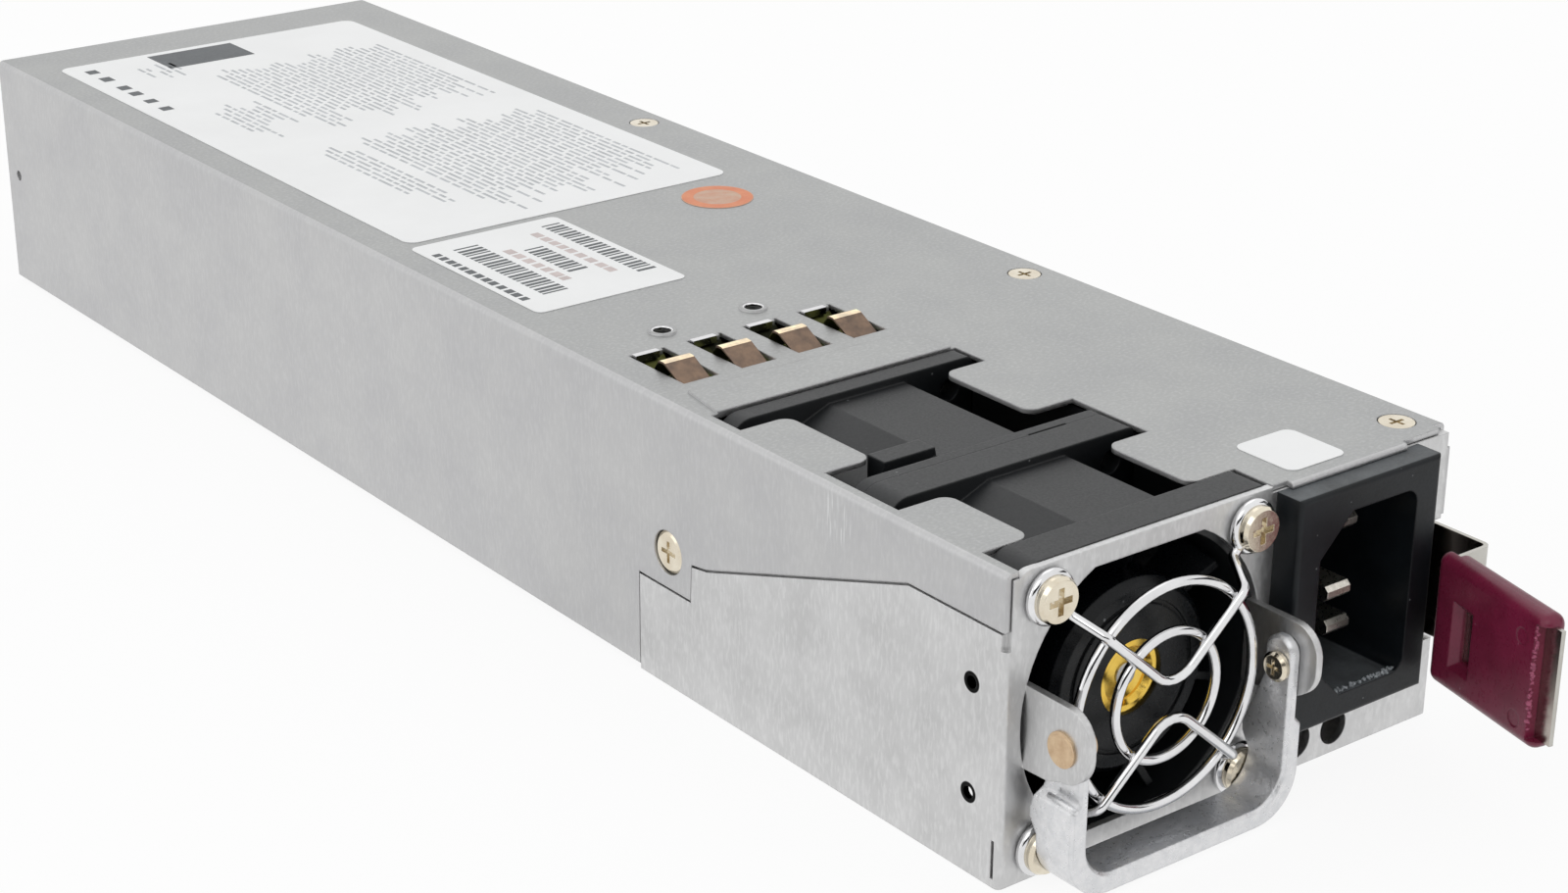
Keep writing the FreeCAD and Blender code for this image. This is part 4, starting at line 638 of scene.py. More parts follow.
# Wound polyester tape: smooth amber yellow.
YELLOW_TAPE = Finish("polyester_tape", "#C9A63A", "#BC9A32", cloud_mm=4.0, roughness=0.3)
# Wound wire under enamel: red brown turns, each a fine ridge.
COPPER_WIRE = Finish("enamelled_copper", "#A8552B", "#B7653A", cloud_mm=1.2, metallic=0.8,
                     roughness=0.3, grain_mm=(0.9, 0.9, 0.9), relief_mm=0.12)
# Extruded: light grey with faint lines along the die.
PLAIN_ALUMINIUM = Finish("extruded_aluminium", "#BFC0C2", "#B4B6B8", cloud_mm=6.0, metallic=1.0,
                         roughness=0.35, grain_mm=(0.4, 5.0, 0.4))
# Transfer moulded epoxy: plain dark grey.
MOULDED_BLOCK = Finish("moulded_epoxy_case", "#2A2B2E", "#323438", cloud_mm=4.0)
# Coated vinyl, die cut: clean white with a slight sheen.
LABEL_VINYL = Finish("matt_white_vinyl", "#F3F4F4", "#EFF0F0", cloud_mm=20.0, roughness=0.42,
                     roughness_spread=0.05, grain_mm=(0.8, 0.8, 0.8), relief_mm=0.003,
                     edge_mm=0.05)
# Thermal print and inks: flat tones with soft edges.
PRINT_GREY = Finish("printed_grey", "#B2B5B8", "#C6C9CC", cloud_mm=3.0, edge_mm=0.02)
PRINT_DARK = Finish("printed_dark_grey", "#54585B", "#5C6063", cloud_mm=3.0, edge_mm=0.02)
PRINT_ROSE = Finish("printed_rose_grey", "#D3C6C3", "#C4B8B6", cloud_mm=3.0, edge_mm=0.02)
RING_ORANGE = Finish("printed_orange", "#D67A50", "#DD8A5E", cloud_mm=3.0, roughness=0.42,
                     edge_mm=0.03)
# Brittle tinted paper: pale orange, a little uneven.
RING_PALE = Finish("pale_orange_paper", "#C9977E", "#CBAE98", cloud_mm=2.0, edge_mm=0.03)

NODE_FINISHES: dict[str, Finish] = {
    node: finish
    for finish, nodes in (
        (COVER_SHEET, "top_cover"),
        (CHASSIS_SHEET, "chassis rear_panel"),
        (FAN_PLASTIC, "front_fan_frame rear_fan_frame"),
        (ROTOR_PLASTIC, "front_fan_rotor rear_fan_rotor"),
        (BRASS, "front_rotor_boss rear_rotor_boss"),
        (GROUND_STEEL, "front_rotor_shaft rear_rotor_shaft front_bearings rear_bearings"),
        (LAMINATED_IRON, "front_stator rear_stator"),
        (BLACK_SHEET, "fan_baffle"),
        (CHROME_WIRE, "fan_guard"),
        (NICKEL_SCREW, "guard_screws cover_screws side_screw handle_pivot_screw board_posts"),
        (TAN_RIVET, "handle_rivet latch_rivets"),
        (CAST_ALUMINIUM, "bail_handle"),
        (INLET_PLASTIC, "inlet_body"),
        (DULL_NICKEL, "inlet_blades"),
        (STAINLESS_STRIP, "latch_spring"),
        (GRIP_PLASTIC, "latch_grip"),
        (BRONZE_FINGER, "spring_fingers"),
        (GREEN_BOARD, "main_board control_board"),
        (GOLD_CONTACT, "edge_contacts"),
        (CLEAR_FILM, "insulator_film"),
        (CAN_SLEEVE, "bulk_capacitors output_capacitors"),
        (FERRITE, "transformer_core"),
        (YELLOW_TAPE, "transformer_winding filter_capacitor"),
        (MOULDED_BLOCK, "inrush_relay"),
        (PLAIN_ALUMINIUM, "primary_heatsink secondary_heatsink"),
        (COPPER_WIRE, "pfc_choke filter_choke"),
    )
    for node in nodes.split()
}


class MaterialShelf:
    """Builds each finish once and hands it out."""

    def __init__(self) -> None:
        """Start with no material built."""
        self.built: dict[str, Material] = {}

    def get(self, finish: Finish) -> Material:
        """Give the material of a finish, building it on first use.

        Args:
            finish: the wanted finish.

        Returns:
            Its material.
        """
        if finish.name not in self.built:
            self.built[finish.name] = finish.build()
        return self.built[finish.name]


def dress_nodes(nodes: dict[str, Thing], shelf: MaterialShelf) -> None:
    """Give every CAD node its finish, smooth round faces and sharp real edges.

    Args:
        nodes: the nodes' objects by name, whose vertices stay as they are.
        shelf: the built materials.
    """
    for name, thing in nodes.items():
        material = shelf.get(NODE_FINISHES[name])
        if not thing.material_slots:
            thing.data.materials.append(material)
        for slot in thing.material_slots:
            slot.material = material
        thing.data.shade_smooth()
        thing.data.set_sharp_from_angle(angle=math.radians(SHARP_DEGREES))
    LOG.info("dressed %d nodes", len(nodes))


# ---------------------------------------------------------------------------------------------
# Pieces


def piece_from(name: str, shape: Shape, material: Material, body: str) -> Thing:
    """Turn a bmesh into a piece that rides on a body.

    Args:
        name: the piece's name.
        shape: its mesh, in metres, in the shared frame. It is freed here.
        material: its finish.
        body: the CAD body it rides on.

    Returns:
        The new object.
    """
    mesh = bpy.data.meshes.new(name)
    bmesh.ops.recalc_face_normals(shape, faces=shape.faces)
    shape.to_mesh(mesh)
    shape.free()
    thing = bpy.data.objects.new(name, mesh)
    bpy.context.scene.collection.objects.link(thing)
    thing.data.materials.append(material)
    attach(thing, body)
    return thing


def unit_circle(steps: int) -> list[Pair]:
    """Give the points of a circle with a radius of 1.

    Args:
        steps: how many points.

    Returns:
        The points, counter-clockwise from the first axis.
    """
    turns = [2 * math.pi * step / steps for step in range(steps)]
    return [(math.cos(turn), math.sin(turn)) for turn in turns]


def rectangle(left: float, right: float, near: float, far: float) -> list[Pair]:
    """Give the corners of a rectangle in metres, counter-clockwise, from edges in millimetres."""
    return [(x * MM, y * MM) for x, y in ((left, near), (right, near), (right, far), (left, far))]


def rounded_rectangle(width: float, height: float, radius: float, steps: int = 6) -> list[Pair]:
    """Give the outline of a rounded rectangle about its own centre.

    Args:
        width: its size along the first axis.
        height: its size along the second axis.
        radius: its corner radius.
        steps: points in each corner.

    Returns:
        The points, counter-clockwise.
    """
    points = []
    for sx, sy, start in ((1, 1, 0.0), (-1, 1, 90.0), (-1, -1, 180.0), (1, -1, 270.0)):
        for step in range(steps + 1):
            angle = math.radians(start + 90.0 * step / steps)
            points.append((sx * (width / 2 - radius) + radius * math.cos(angle),
                           sy * (height / 2 - radius) + radius * math.sin(angle)))
    return points


def add_slab(shape: Shape, outline: list[Pair], centre: Vector, thickness: float) -> None:
    """Add a flat slab over an outline to a bmesh.

    Args:
        shape: the bmesh that takes it.
        outline: its points in X and Y about the centre.
        centre: the middle of its underside.
        thickness: its height.
    """
    low, high = ([shape.verts.new((centre.x + x, centre.y + y, centre.z + lift))
                  for x, y in outline] for lift in (0.0, thickness))
    shape.faces.new(list(reversed(low)))
    shape.faces.new(high)
    for index in range(len(outline)):
        after = (index + 1) % len(outline)
        shape.faces.new((low[index], low[after], high[after], high[index]))


def rounded_path(points: list[Vector], radii: tuple[float, ...], steps: int = 6) -> list[Vector]:
    """Round the corners of a run of points with tangent arcs.

    Args:
        points: its ends and corners.
        radii: the radius at each corner.
        steps: points in each arc.

    Returns:
        The points of the rounded path.
    """
    path = [points[0]]
    for before, corner, after, radius in zip(points, points[1:], points[2:], radii):
        back = (before - corner).normalized()
        forth = (after - corner).normalized()
        half = back.angle(forth) / 2
        middle = corner + (back + forth).normalized() * radius / math.sin(half)
        start = corner + back * radius / math.tan(half)
        end = corner + forth * radius / math.tan(half)
        for step in range(steps + 1):
            spoke = (start - middle).lerp(end - middle, step / steps).normalized() * radius
            path.append(middle + spoke)
    path.append(points[-1])
    return path


def add_tube(shape: Shape, path: list[Vector], radius: float, closed: bool,
             sides: int = 16) -> None:
    """Add a smooth round wire along a path to a bmesh.

    Args:
        shape: the bmesh that takes it.
        path: the points of its middle line.
        radius: half its thickness.
        closed: whether its ends meet.
        sides: points round its section.
    """
    count = len(path)
    loops = []
    across = None
    for index, point in enumerate(path):
        before = path[index - 1] if closed or index else point
        after = path[(index + 1) % count] if closed or index + 1 < count else point
        along = (after - before).normalized()
        if across is None:
            across = along.orthogonal().normalized()
        across = (across - along * across.dot(along)).normalized()
        other = along.cross(across)
        loops.append([shape.verts.new(point + radius * (x * across + y * other))
                      for x, y in unit_circle(sides)])
    if not closed:
        for loop in (loops[0], loops[-1]):
            shape.faces.new(loop)
    for index in range(count if closed else count - 1):
        one, two = loops[index], loops[(index + 1) % count]
        for side in range(sides):
            after = (side + 1) % sides
            shape.faces.new((one[side], one[after], two[after], two[side])).smooth = True


def flat_height(thing: Thing) -> float:
    """Find the height of an object's largest level face, such as the outside of a cover's top.

    Args:
        thing: the object, with its mesh in the shared frame.

    Returns:
        That face's height, in metres.
    """
    areas: dict[float, float] = {}
    for polygon in thing.data.polygons:
        if polygon.normal.z > LEVEL_COSINE:
            height = round(polygon.center.z, HEIGHT_DIGITS)
            areas[height] = areas.get(height, 0.0) + polygon.area
    return max(areas, key=lambda height: areas[height])


@dataclass(frozen=True)
class Dashes:
    """How a line of print is broken up, in millimetres.

    Attributes:
        width: the line's width.
        shortest: its shortest dash.
        longest: its longest dash.
        gap: the usual space between two dashes.
    """

    width: float
    shortest: float
    longest: float
    gap: float


@dataclass
class CaseLabels:
    """The stickers on the cover: a large form, a small one, a ring seal and a blank tag.

    Places are distances in millimetres from the case's middle line and from its rear edge. A box is
    its left and right edge, and its nearest and farthest distance from the rear.

    Attributes:
        shelf: the built materials.
        top: height of the cover's outside, in metres.
        rear: the cover's rear edge, in metres.
        lift_mm: air under a sticker.
        thickness_mm: a sticker's thickness.
        print_mm: its ink's thickness.
        stickers: each sticker's name, box and corner radius.
        seeds: what the form's and the small sticker's random lengths start from.
        line_mm: distance between the form's rules.
        columns: boxes of the form's rules, from its own left and near edges.
        ragged_mm: how far the rules' near and far ends may fall short.
        small_print: how those rules are broken up.
        form_block: box of the solid block.
        form_marks: left edge and ends of the line of marks, from the form's left and near edges.
        mark_dashes: how that line is broken up.
        codes: boxes of the small sticker's bars, from the middle line and its near edge.
        bar_mm: distance between the bars, and the width of a thin and of a thick one.
        thin_every: one bar in this many is thin.
        strip_rules: the small sticker's lines: left edge, ends from its near edge, and dashes.
        gap_spread: how uneven the gaps in a line are.
        seal_place: the seal's middle.
        seal_radius_mm: its radius.
        seal_sheet_mm: its thickness.
        seal_steps: points round it.
        ring_lift_mm: height of its printed ring.
        ring_share: the ring's inner and outer radius as shares of the seal's.
    """

    shelf: MaterialShelf
    top: float
    rear: float
    lift_mm: float = 0.01
    thickness_mm: float = 0.09
    print_mm: float = 0.02
    stickers: tuple[tuple[str, Quad, float], ...] = (
        ("rating_label", (-31.0, 26.5, 11.7, 128.3), 2.0),
        ("serial_label", (-32.0, -7.0, 130.0, 163.8), 1.2),
        ("blank_tag", (9.6, 19.4, 253.5, 263.4), 1.4))
    seeds: tuple[int, int] = (5, 3)
    line_mm: float = 1.2
    columns: tuple[Quad, ...] = (
        (20.0, 54.0, 16.0, 60.0), (20.0, 54.0, 66.0, 113.0), (9.0, 19.0, 36.0, 60.0),
        (12.0, 19.0, 68.0, 108.0), (11.0, 19.0, 6.0, 18.0))
    ragged_mm: Pair = (6.0, 12.0)
    small_print: Dashes = Dashes(0.5, 1.2, 4.2, 0.6)
    form_block: Quad = (-15.0, 1.2, 13.4, 22.6)
    form_marks: Triple = (3.0, 4.0, 37.0)
    mark_dashes: Dashes = Dashes(2.0, 1.6, 3.0, 2.6)
    codes: tuple[Quad, ...] = (
        (-27.3, -23.2, 4.4, 28.6), (-19.2, -16.0, 10.5, 23.6), (-11.3, -8.2, 3.0, 28.4))
    bar_mm: Triple = (1.1, 0.4, 0.7)
    thin_every: int = 3
    strip_rules: tuple[tuple[float, float, float, Dashes], ...] = (
        (-31.0, 4.5, 29.0, Dashes(1.3, 1.0, 1.6, 0.5)),
        (-21.9, 9.0, 26.0, Dashes(1.5, 1.2, 2.0, 0.5)),
        (-14.6, 5.0, 27.0, Dashes(1.4, 1.2, 2.0, 0.5)))
    gap_spread: Pair = (0.7, 1.6)
    seal_place: Pair = (18.0, 136.9)
    seal_radius_mm: float = 5.5
    seal_sheet_mm: float = 0.06
    seal_steps: int = 48
    ring_lift_mm: float = 0.075
    ring_share: Pair = (0.66, 0.98)

    def build(self) -> None:
        """Make every sticker and its print."""
        for name, (left, right, near, far), radius_mm in self.stickers:
            shape = bmesh.new()
            outline = rounded_rectangle((right - left) * MM, (far - near) * MM, radius_mm * MM)
            centre = self.point((left + right) / 2, (near + far) / 2, self.lift_mm)
            add_slab(shape, outline, centre, self.thickness_mm * MM)
            piece_from(name, shape, self.shelf.get(LABEL_VINYL), "housing")
        self.form_print()
        self.strip_print()
        self.seal()
        LOG.info("labels: four stickers on the cover")

    def point(self, x_mm: float, from_rear_mm: float, lift_mm: float) -> Vector:
        """Give a place on the cover's top, in metres."""
        return Vector((x_mm * MM, self.rear - from_rear_mm * MM, self.top + lift_mm * MM))

    def bars(self, name: str, finish: Finish, boxes: list[Quad]) -> None:
        """Print plain bars on a sticker.

        Args:
            name: the piece's name.
            finish: the ink.
            boxes: the bars.
        """
        shape = bmesh.new()
        for left, right, near, far in boxes:
            wide, long = (right - left) / 2, (far - near) / 2
            centre = self.point((left + right) / 2, (near + far) / 2,
                                self.lift_mm + self.thickness_mm)
            add_slab(shape, rectangle(-wide, wide, -long, long), centre, self.print_mm * MM)
        piece_from(name, shape, self.shelf.get(finish), "housing")

    def form_print(self) -> None:
        """Print the form: columns of broken rules like blurred small print, a block and marks."""
        chance = random.Random(self.seeds[0])
        edge, _, front, _ = self.stickers[0][1]
        late, early = self.ragged_mm
        rows = []
        for start, stop, near, far in self.columns:
            for line in range(int((stop - start) / self.line_mm)):
                rows += self.broken_rule(chance, edge + start + line * self.line_mm,
                                         front + near + chance.uniform(0.0, late),
                                         front + far - chance.uniform(0.0, early),
                                         self.small_print)
        self.bars("form_rules", PRINT_GREY, rows)
        left, first, last = self.form_marks
        marks = self.broken_rule(chance, edge + left, front + first, front + last,
                                 self.mark_dashes)
        self.bars("form_block", PRINT_DARK, [self.form_block] + marks)

    def strip_print(self) -> None:
        """Print the small sticker: blocks of even bars that hold no code, and rules between."""
        chance = random.Random(self.seeds[1])
        front = self.stickers[1][1][2]
        pitch, thin, thick = self.bar_mm
        bars = []
        for left, right, first, last in self.codes:
            for index in range(int((last - first) / pitch)):
                near = front + first + index * pitch
                width = thick if index % self.thin_every else thin
                bars.append((left, right, near, near + width))
        dark, *rose = [self.broken_rule(chance, left, front + first, front + last, dashes)
                       for left, first, last, dashes in self.strip_rules]
        self.bars("strip_bars", PRINT_DARK, bars + dark)
        self.bars("strip_rules", PRINT_ROSE, [box for line in rose for box in line])

    def broken_rule(self, chance: random.Random, left: float, near: float, far: float,
                    dashes: Dashes) -> list[Quad]:
        """Make one line of dashes of uneven length, along the case.

        Args:
            chance: the source of the lengths.
            left: its left edge.
            near: where it starts, from the rear.
            far: where it has to end.
            dashes: how it is broken up.

        Returns:
            Its dashes as boxes for bars().
        """
        boxes = []
        while near < far - dashes.shortest:
            end = min(far, near + chance.uniform(dashes.shortest, dashes.longest))
            boxes.append((left, left + dashes.width, near, end))
            near = end + dashes.gap * chance.uniform(*self.gap_spread)
        return boxes

    def seal(self) -> None:
        """Make the round seal: an orange ring on a paler disc."""
        radius = self.seal_radius_mm * MM
        circle = unit_circle(self.seal_steps)
        disc = bmesh.new()
        add_slab(disc, [(x * radius, y * radius) for x, y in circle],
                 self.point(*self.seal_place, self.lift_mm), self.seal_sheet_mm * MM)
        piece_from("seal_disc", disc, self.shelf.get(RING_PALE), "housing")
        ring = bmesh.new()
        centre = self.point(*self.seal_place, self.ring_lift_mm)
        inner, outer = ([ring.verts.new(centre + Vector((x, y, 0.0)) * share * radius)
                         for x, y in circle] for share in self.ring_share)
        for index in range(self.seal_steps):
            after = (index + 1) % self.seal_steps
            ring.faces.new((inner[index], inner[after], outer[after], outer[index]))
        piece_from("seal_ring", ring, self.shelf.get(RING_ORANGE), "housing")


@dataclass
class MouldingFlash:
    """Thin torn plastic where a moulding's tools met: along the inlet's socket and the grip's tip.

    Each run is its start and its length, and each range its least and most, in millimetres: on the
    inlet from its middle and front, on the grip from its box's lowest corner.

    Attributes:
        shelf: the built materials.
        seed: what the random places and sizes start from.
        crumb_mm: size of the largest crumb.
        crumbs: how many each moulding has.
        size_spread: the crumbs' sizes, as shares of the largest.
        round_share: a crumb's radius, as a share of its size.
        dent_share: how far its points are moved, as a share of its size.
        inlet_run: along the socket's lower edge.
        inlet_crowding: below 1 it crowds the crumbs to the run's end.
        inlet_depth: how far behind the front they lie.
        inlet_rise: how far over the middle they lie.
        grip_run: up the grip's tip.
        grip_crowding: above 1 it crowds the crumbs to the run's start.
        grip_depth: how far in from the tip they lie.
        grip_lean: the tip's place sideways and back, and how far forward it leans per millimetre.
    """

    shelf: MaterialShelf
    seed: int = 11
    crumb_mm: float = 0.42
    crumbs: int = 64
    size_spread: Pair = (0.35, 1.0)
    round_share: float = 0.8
    dent_share: float = 0.3
    inlet_run: Pair = (-3.6, 11.3)
    inlet_crowding: float = 0.7
    inlet_depth: Pair = (0.35, 0.9)
    inlet_rise: Pair = (-12.4, -12.0)
    grip_run: Pair = (2.4, 13.8)
    grip_crowding: float = 1.3
    grip_depth: Pair = (0.0, 0.35)
    grip_lean: Triple = (0.12, 2.1, 0.24)

    def build(self) -> None:
        """Make the crumbs along the lower edge of the inlet's socket and up the grip's tip."""
        chance = random.Random(self.seed)
        low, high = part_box("inlet_body")
        middle = (low + high) / 2
        start, length = self.inlet_run
        spots = []
        for _ in range(self.crumbs):
            along = chance.random() ** self.inlet_crowding
            spots.append(Vector((middle.x + (start + length * along) * MM,
                                 low.y + chance.uniform(*self.inlet_depth) * MM,
                                 middle.z + chance.uniform(*self.inlet_rise) * MM)))
        self.crumble("inlet_flash", chance, spots, INLET_FLASH, "housing")
        low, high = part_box("latch_grip")
        start, length = self.grip_run
        aside, back, lean = self.grip_lean
        spots = []
        for _ in range(self.crumbs):
            inward = chance.uniform(*self.grip_depth)
            up = start + length * chance.random() ** self.grip_crowding
            spots.append(low + Vector((aside + inward, back - lean * inward, up)) * MM)
        self.crumble("grip_flash", chance, spots, GRIP_FLASH, "latch")
        LOG.info("flash: %d crumbs on the inlet and on the grip", self.crumbs)

    def crumble(self, name: str, chance: random.Random, spots: list[Vector], finish: Finish,
                body: str) -> None:
        """Make one piece of uneven crumbs.

        Args:
            name: the piece's name.
            chance: the source of the sizes and dents.
            spots: the middle of each crumb, in metres.
            finish: what they are made of.
            body: the CAD body they ride on.
        """
        shape = bmesh.new()
        for spot in spots:
            size = self.crumb_mm * MM * chance.uniform(*self.size_spread)
            made = bmesh.ops.create_icosphere(shape, subdivisions=1,
                                              radius=size * self.round_share,
                                              matrix=Matrix.Translation(spot))["verts"]
            for vert in made:
                dent = Vector([chance.uniform(-1, 1) for _ in range(3)])
                vert.co += dent * size * self.dent_share
        piece_from(name, shape, self.shelf.get(finish), body)


@dataclass
class RoundWireGuard:
    """The fan's wire guard in round wire: it stands for the CAD guard, whose wire has eight flats.

    Attributes:
        shelf: the built materials.
        wire_mm: the wire's thickness.
        rings_mm: the rings' radii, to the wire's middle.
        ring_stand_mm: how far the rings stand in front of the panel.
        leg_stand_mm: how far the legs stand there, between their feet.
        eyelet_mm: the eyelets' radius.
        foot_mm: where a leg passes its eyelet, leaves the panel and reaches its height, each as a
            distance towards the fan's middle from the eyelet's edge.
        waist_mm: how far from the fan's middle a leg turns.
        bend_mm: the radius of each bend of a leg.
        steps: points round a ring.
    """

    shelf: MaterialShelf
    wire_mm: float = 1.3
    rings_mm: Pair = (14.2, 8.05)
    ring_stand_mm: float = 3.75
    leg_stand_mm: float = 4.9
    eyelet_mm: float = 2.85
    foot_mm: Triple = (-0.2, 1.0, 3.1)
    waist_mm: float = 1.2
    bend_mm: tuple[float, ...] = (1.0, 1.4, 4.0, 1.4, 1.0)
    steps: int = 72

    def build(self) -> None:
        """Make the rings, the legs and their eyelets as one piece."""
        low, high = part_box("fan_guard")
        centre = Vector(((low.x + high.x) / 2, high.y, (low.z + high.z) / 2))
        flat = self.wire_mm / 2
        pitch = (high.x - low.x) / 2 / MM - self.eyelet_mm - flat
        shape = bmesh.new()
        for radius_mm in self.rings_mm:
            self.ring(shape, centre, radius_mm, self.ring_stand_mm)
        reach = pitch - self.eyelet_mm * math.sqrt(0.5)
        stands = (flat, flat, self.leg_stand_mm)
        half = [(reach - inward, stand) for inward, stand in zip(self.foot_mm, stands)]
        for up in (1.0, -1.0):
            corners = [Vector((-across, -stand, up * across)) for across, stand in half]
            corners.append(Vector((0.0, -self.leg_stand_mm, up * self.waist_mm)))
            corners += [Vector((across, -stand, up * across)) for across, stand in reversed(half)]
            path = [centre + point * MM for point in rounded_path(corners, self.bend_mm)]
            add_tube(shape, path, flat * MM, False)
            for out in (1.0, -1.0):
                eye = centre + Vector((out * pitch, 0.0, up * pitch)) * MM
                self.ring(shape, eye, self.eyelet_mm, flat)
        guard = piece_from("round_wire_guard", shape, self.shelf.get(CHROME_WIRE), "housing")
        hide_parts("fan_guard")
        LOG.info("guard: round wire, eyelets %.2f mm apart", 2 * pitch)

    def ring(self, shape: Shape, centre: Vector, radius_mm: float, stand_mm: float) -> None:
        """Add one closed ring of wire in front of the panel.

        Args:
            shape: the bmesh that takes it.
            centre: its axis at the panel's face, in metres.
            radius_mm: its middle line's radius.
            stand_mm: how far it stands in front of the panel.
        """
        path = [centre + Vector((radius_mm * x, -stand_mm, radius_mm * z)) * MM
                for x, z in unit_circle(self.steps)]
        add_tube(shape, path, self.wire_mm / 2 * MM, True)


@dataclass
class BrightEdges:
    """Bright small metal: the slots' sheared lips, the rims of two holes, a rivet's face, a ridge.

    Sizes and places are in millimetres: of slots and rims from the left rear corner of the spring
    fingers' box, of the ridge from the handle's rivet.

    Attributes:
        shelf: the built materials.
        top: height of the cover's outside, in metres.
        slots: how many slots, and so lips.
        slot_pitch_mm: distance between them.
        slot_rear_mm: how far forward their lips lie.
        lip_mm: a lip's left, right, front and rear edge at its slot.
        lip_depth_mm: how far it reaches down from the cover's outside.
        lip_proud_mm: how far it stands up from it.
        rims: how many rims.
        rim_pitch_mm: distance between them.
        rim_place_mm: the left one's middle, rightwards and forwards.
        rim_lift_mm: height of their middle line over the cover's outside.
        rim_radius_mm: their radius.
        rim_wire_mm: half their thickness.
        rim_steps: points round one, and round its section.
        face_mm: the rivet's face: radius at the back and at the front, and thickness.
        face_inset_mm: how far in from the rivet's end its middle lies.
        face_steps: points round it.
        ridge_x_mm: the ridge's place sideways.
        ridge_mm: its points in Y and Z.
        ridge_radius_mm: half its thickness.
        ridge_sides: points round its section.
    """

    shelf: MaterialShelf
    top: float
    slots: int = 4
    slot_pitch_mm: float = 9.28
    slot_rear_mm: float = 9.8
    lip_mm: Quad = (0.3, 4.1, -0.75, 0.2)
    lip_depth_mm: float = 0.7
    lip_proud_mm: float = 0.3
    rims: int = 2
    rim_pitch_mm: float = 15.25
    rim_place_mm: Pair = (8.9, 4.3)
    rim_lift_mm: float = 0.06
    rim_radius_mm: float = 1.42
    rim_wire_mm: float = 0.21
    rim_steps: tuple[int, int] = (32, 10)
    face_mm: Triple = (1.95, 1.85, 0.12)
    face_inset_mm: float = 0.02
    face_steps: int = 40
    ridge_x_mm: float = -1.4
    ridge_mm: tuple[Pair, ...] = ((2.0, -6.7), (-0.4, -6.75), (-2.7, -7.0))
    ridge_radius_mm: float = 0.36
    ridge_sides: int = 12

    def build(self) -> None:
        """Make the lips, the rims, the rivet's face and the ridge of the handle's left arm."""
        low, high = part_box("spring_fingers")
        self.lips(low.x, high.y)
        self.hole_rims(low.x, high.y)
        low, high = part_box("handle_rivet")
        self.rivet_face(low, high)
        self.ridge((low + high) / 2)
        LOG.info("bright edges: %d lips, %d rims, a rivet's face, a ridge", self.slots, self.rims)

    def lips(self, left: float, rear: float) -> None:
        """Make the sheared front lips of the slots.

        Args:
            left: the spring fingers' left edge, in metres.
            rear: their rear edge, in metres.
        """
        shape = bmesh.new()
        front = rear - self.slot_rear_mm * MM
        under = self.top - self.lip_depth_mm * MM
        for slot in range(self.slots):
            corner = Vector((left + slot * self.slot_pitch_mm * MM, front, under))
            add_slab(shape, rectangle(*self.lip_mm), corner,
                     (self.lip_depth_mm + self.lip_proud_mm) * MM)
        piece_from("slot_lips", shape, self.shelf.get(CHROME_WIRE), "housing")

    def hole_rims(self, left: float, rear: float) -> None:
        """Make the raised rims of the cover's two holes.

        Args:
            left: the spring fingers' left edge, in metres.
            rear: their rear edge, in metres.
        """
        shape = bmesh.new()
        aside, forward = self.rim_place_mm
        steps, sides = self.rim_steps
        for column in range(self.rims):
            middle = Vector((left + (aside + column * self.rim_pitch_mm) * MM,
                             rear - forward * MM, self.top + self.rim_lift_mm * MM))
            path = [middle + Vector((x, y, 0.0)) * self.rim_radius_mm * MM
                    for x, y in unit_circle(steps)]
            add_tube(shape, path, self.rim_wire_mm * MM, True, sides)
        piece_from("hole_rims", shape, self.shelf.get(CHROME_WIRE), "housing")

    def rivet_face(self, low: Vector, high: Vector) -> None:
        """Make the plain face on the left end of the handle's rivet.

        Args:
            low: the rivet's lowest corner.
            high: its highest corner.
        """
        shape = bmesh.new()
        back, front, thickness = (size * MM for size in self.face_mm)
        place = Vector((low.x + self.face_inset_mm * MM, (low.y + high.y) / 2,
                        (low.z + high.z) / 2))
        turn = Matrix.Translation(place) @ Matrix.Rotation(math.radians(-90.0), 4, "Y")
        bmesh.ops.create_cone(shape, cap_ends=True, segments=self.face_steps, radius1=back,
                              radius2=front, depth=thickness, matrix=turn)
        piece_from("rivet_face", shape, self.shelf.get(TAN_RIVET), "housing")

    def ridge(self, pivot: Vector) -> None:
        """Make the short ridge across the handle's left arm.

        Args:
            pivot: the middle of the handle's rivet.
        """
        shape = bmesh.new()
        path = [pivot + Vector((self.ridge_x_mm, y, z)) * MM for y, z in self.ridge_mm]
        add_tube(shape, path, self.ridge_radius_mm * MM, False, self.ridge_sides)
        piece_from("arm_ridge", shape, self.shelf.get(CAST_ALUMINIUM), "handle")


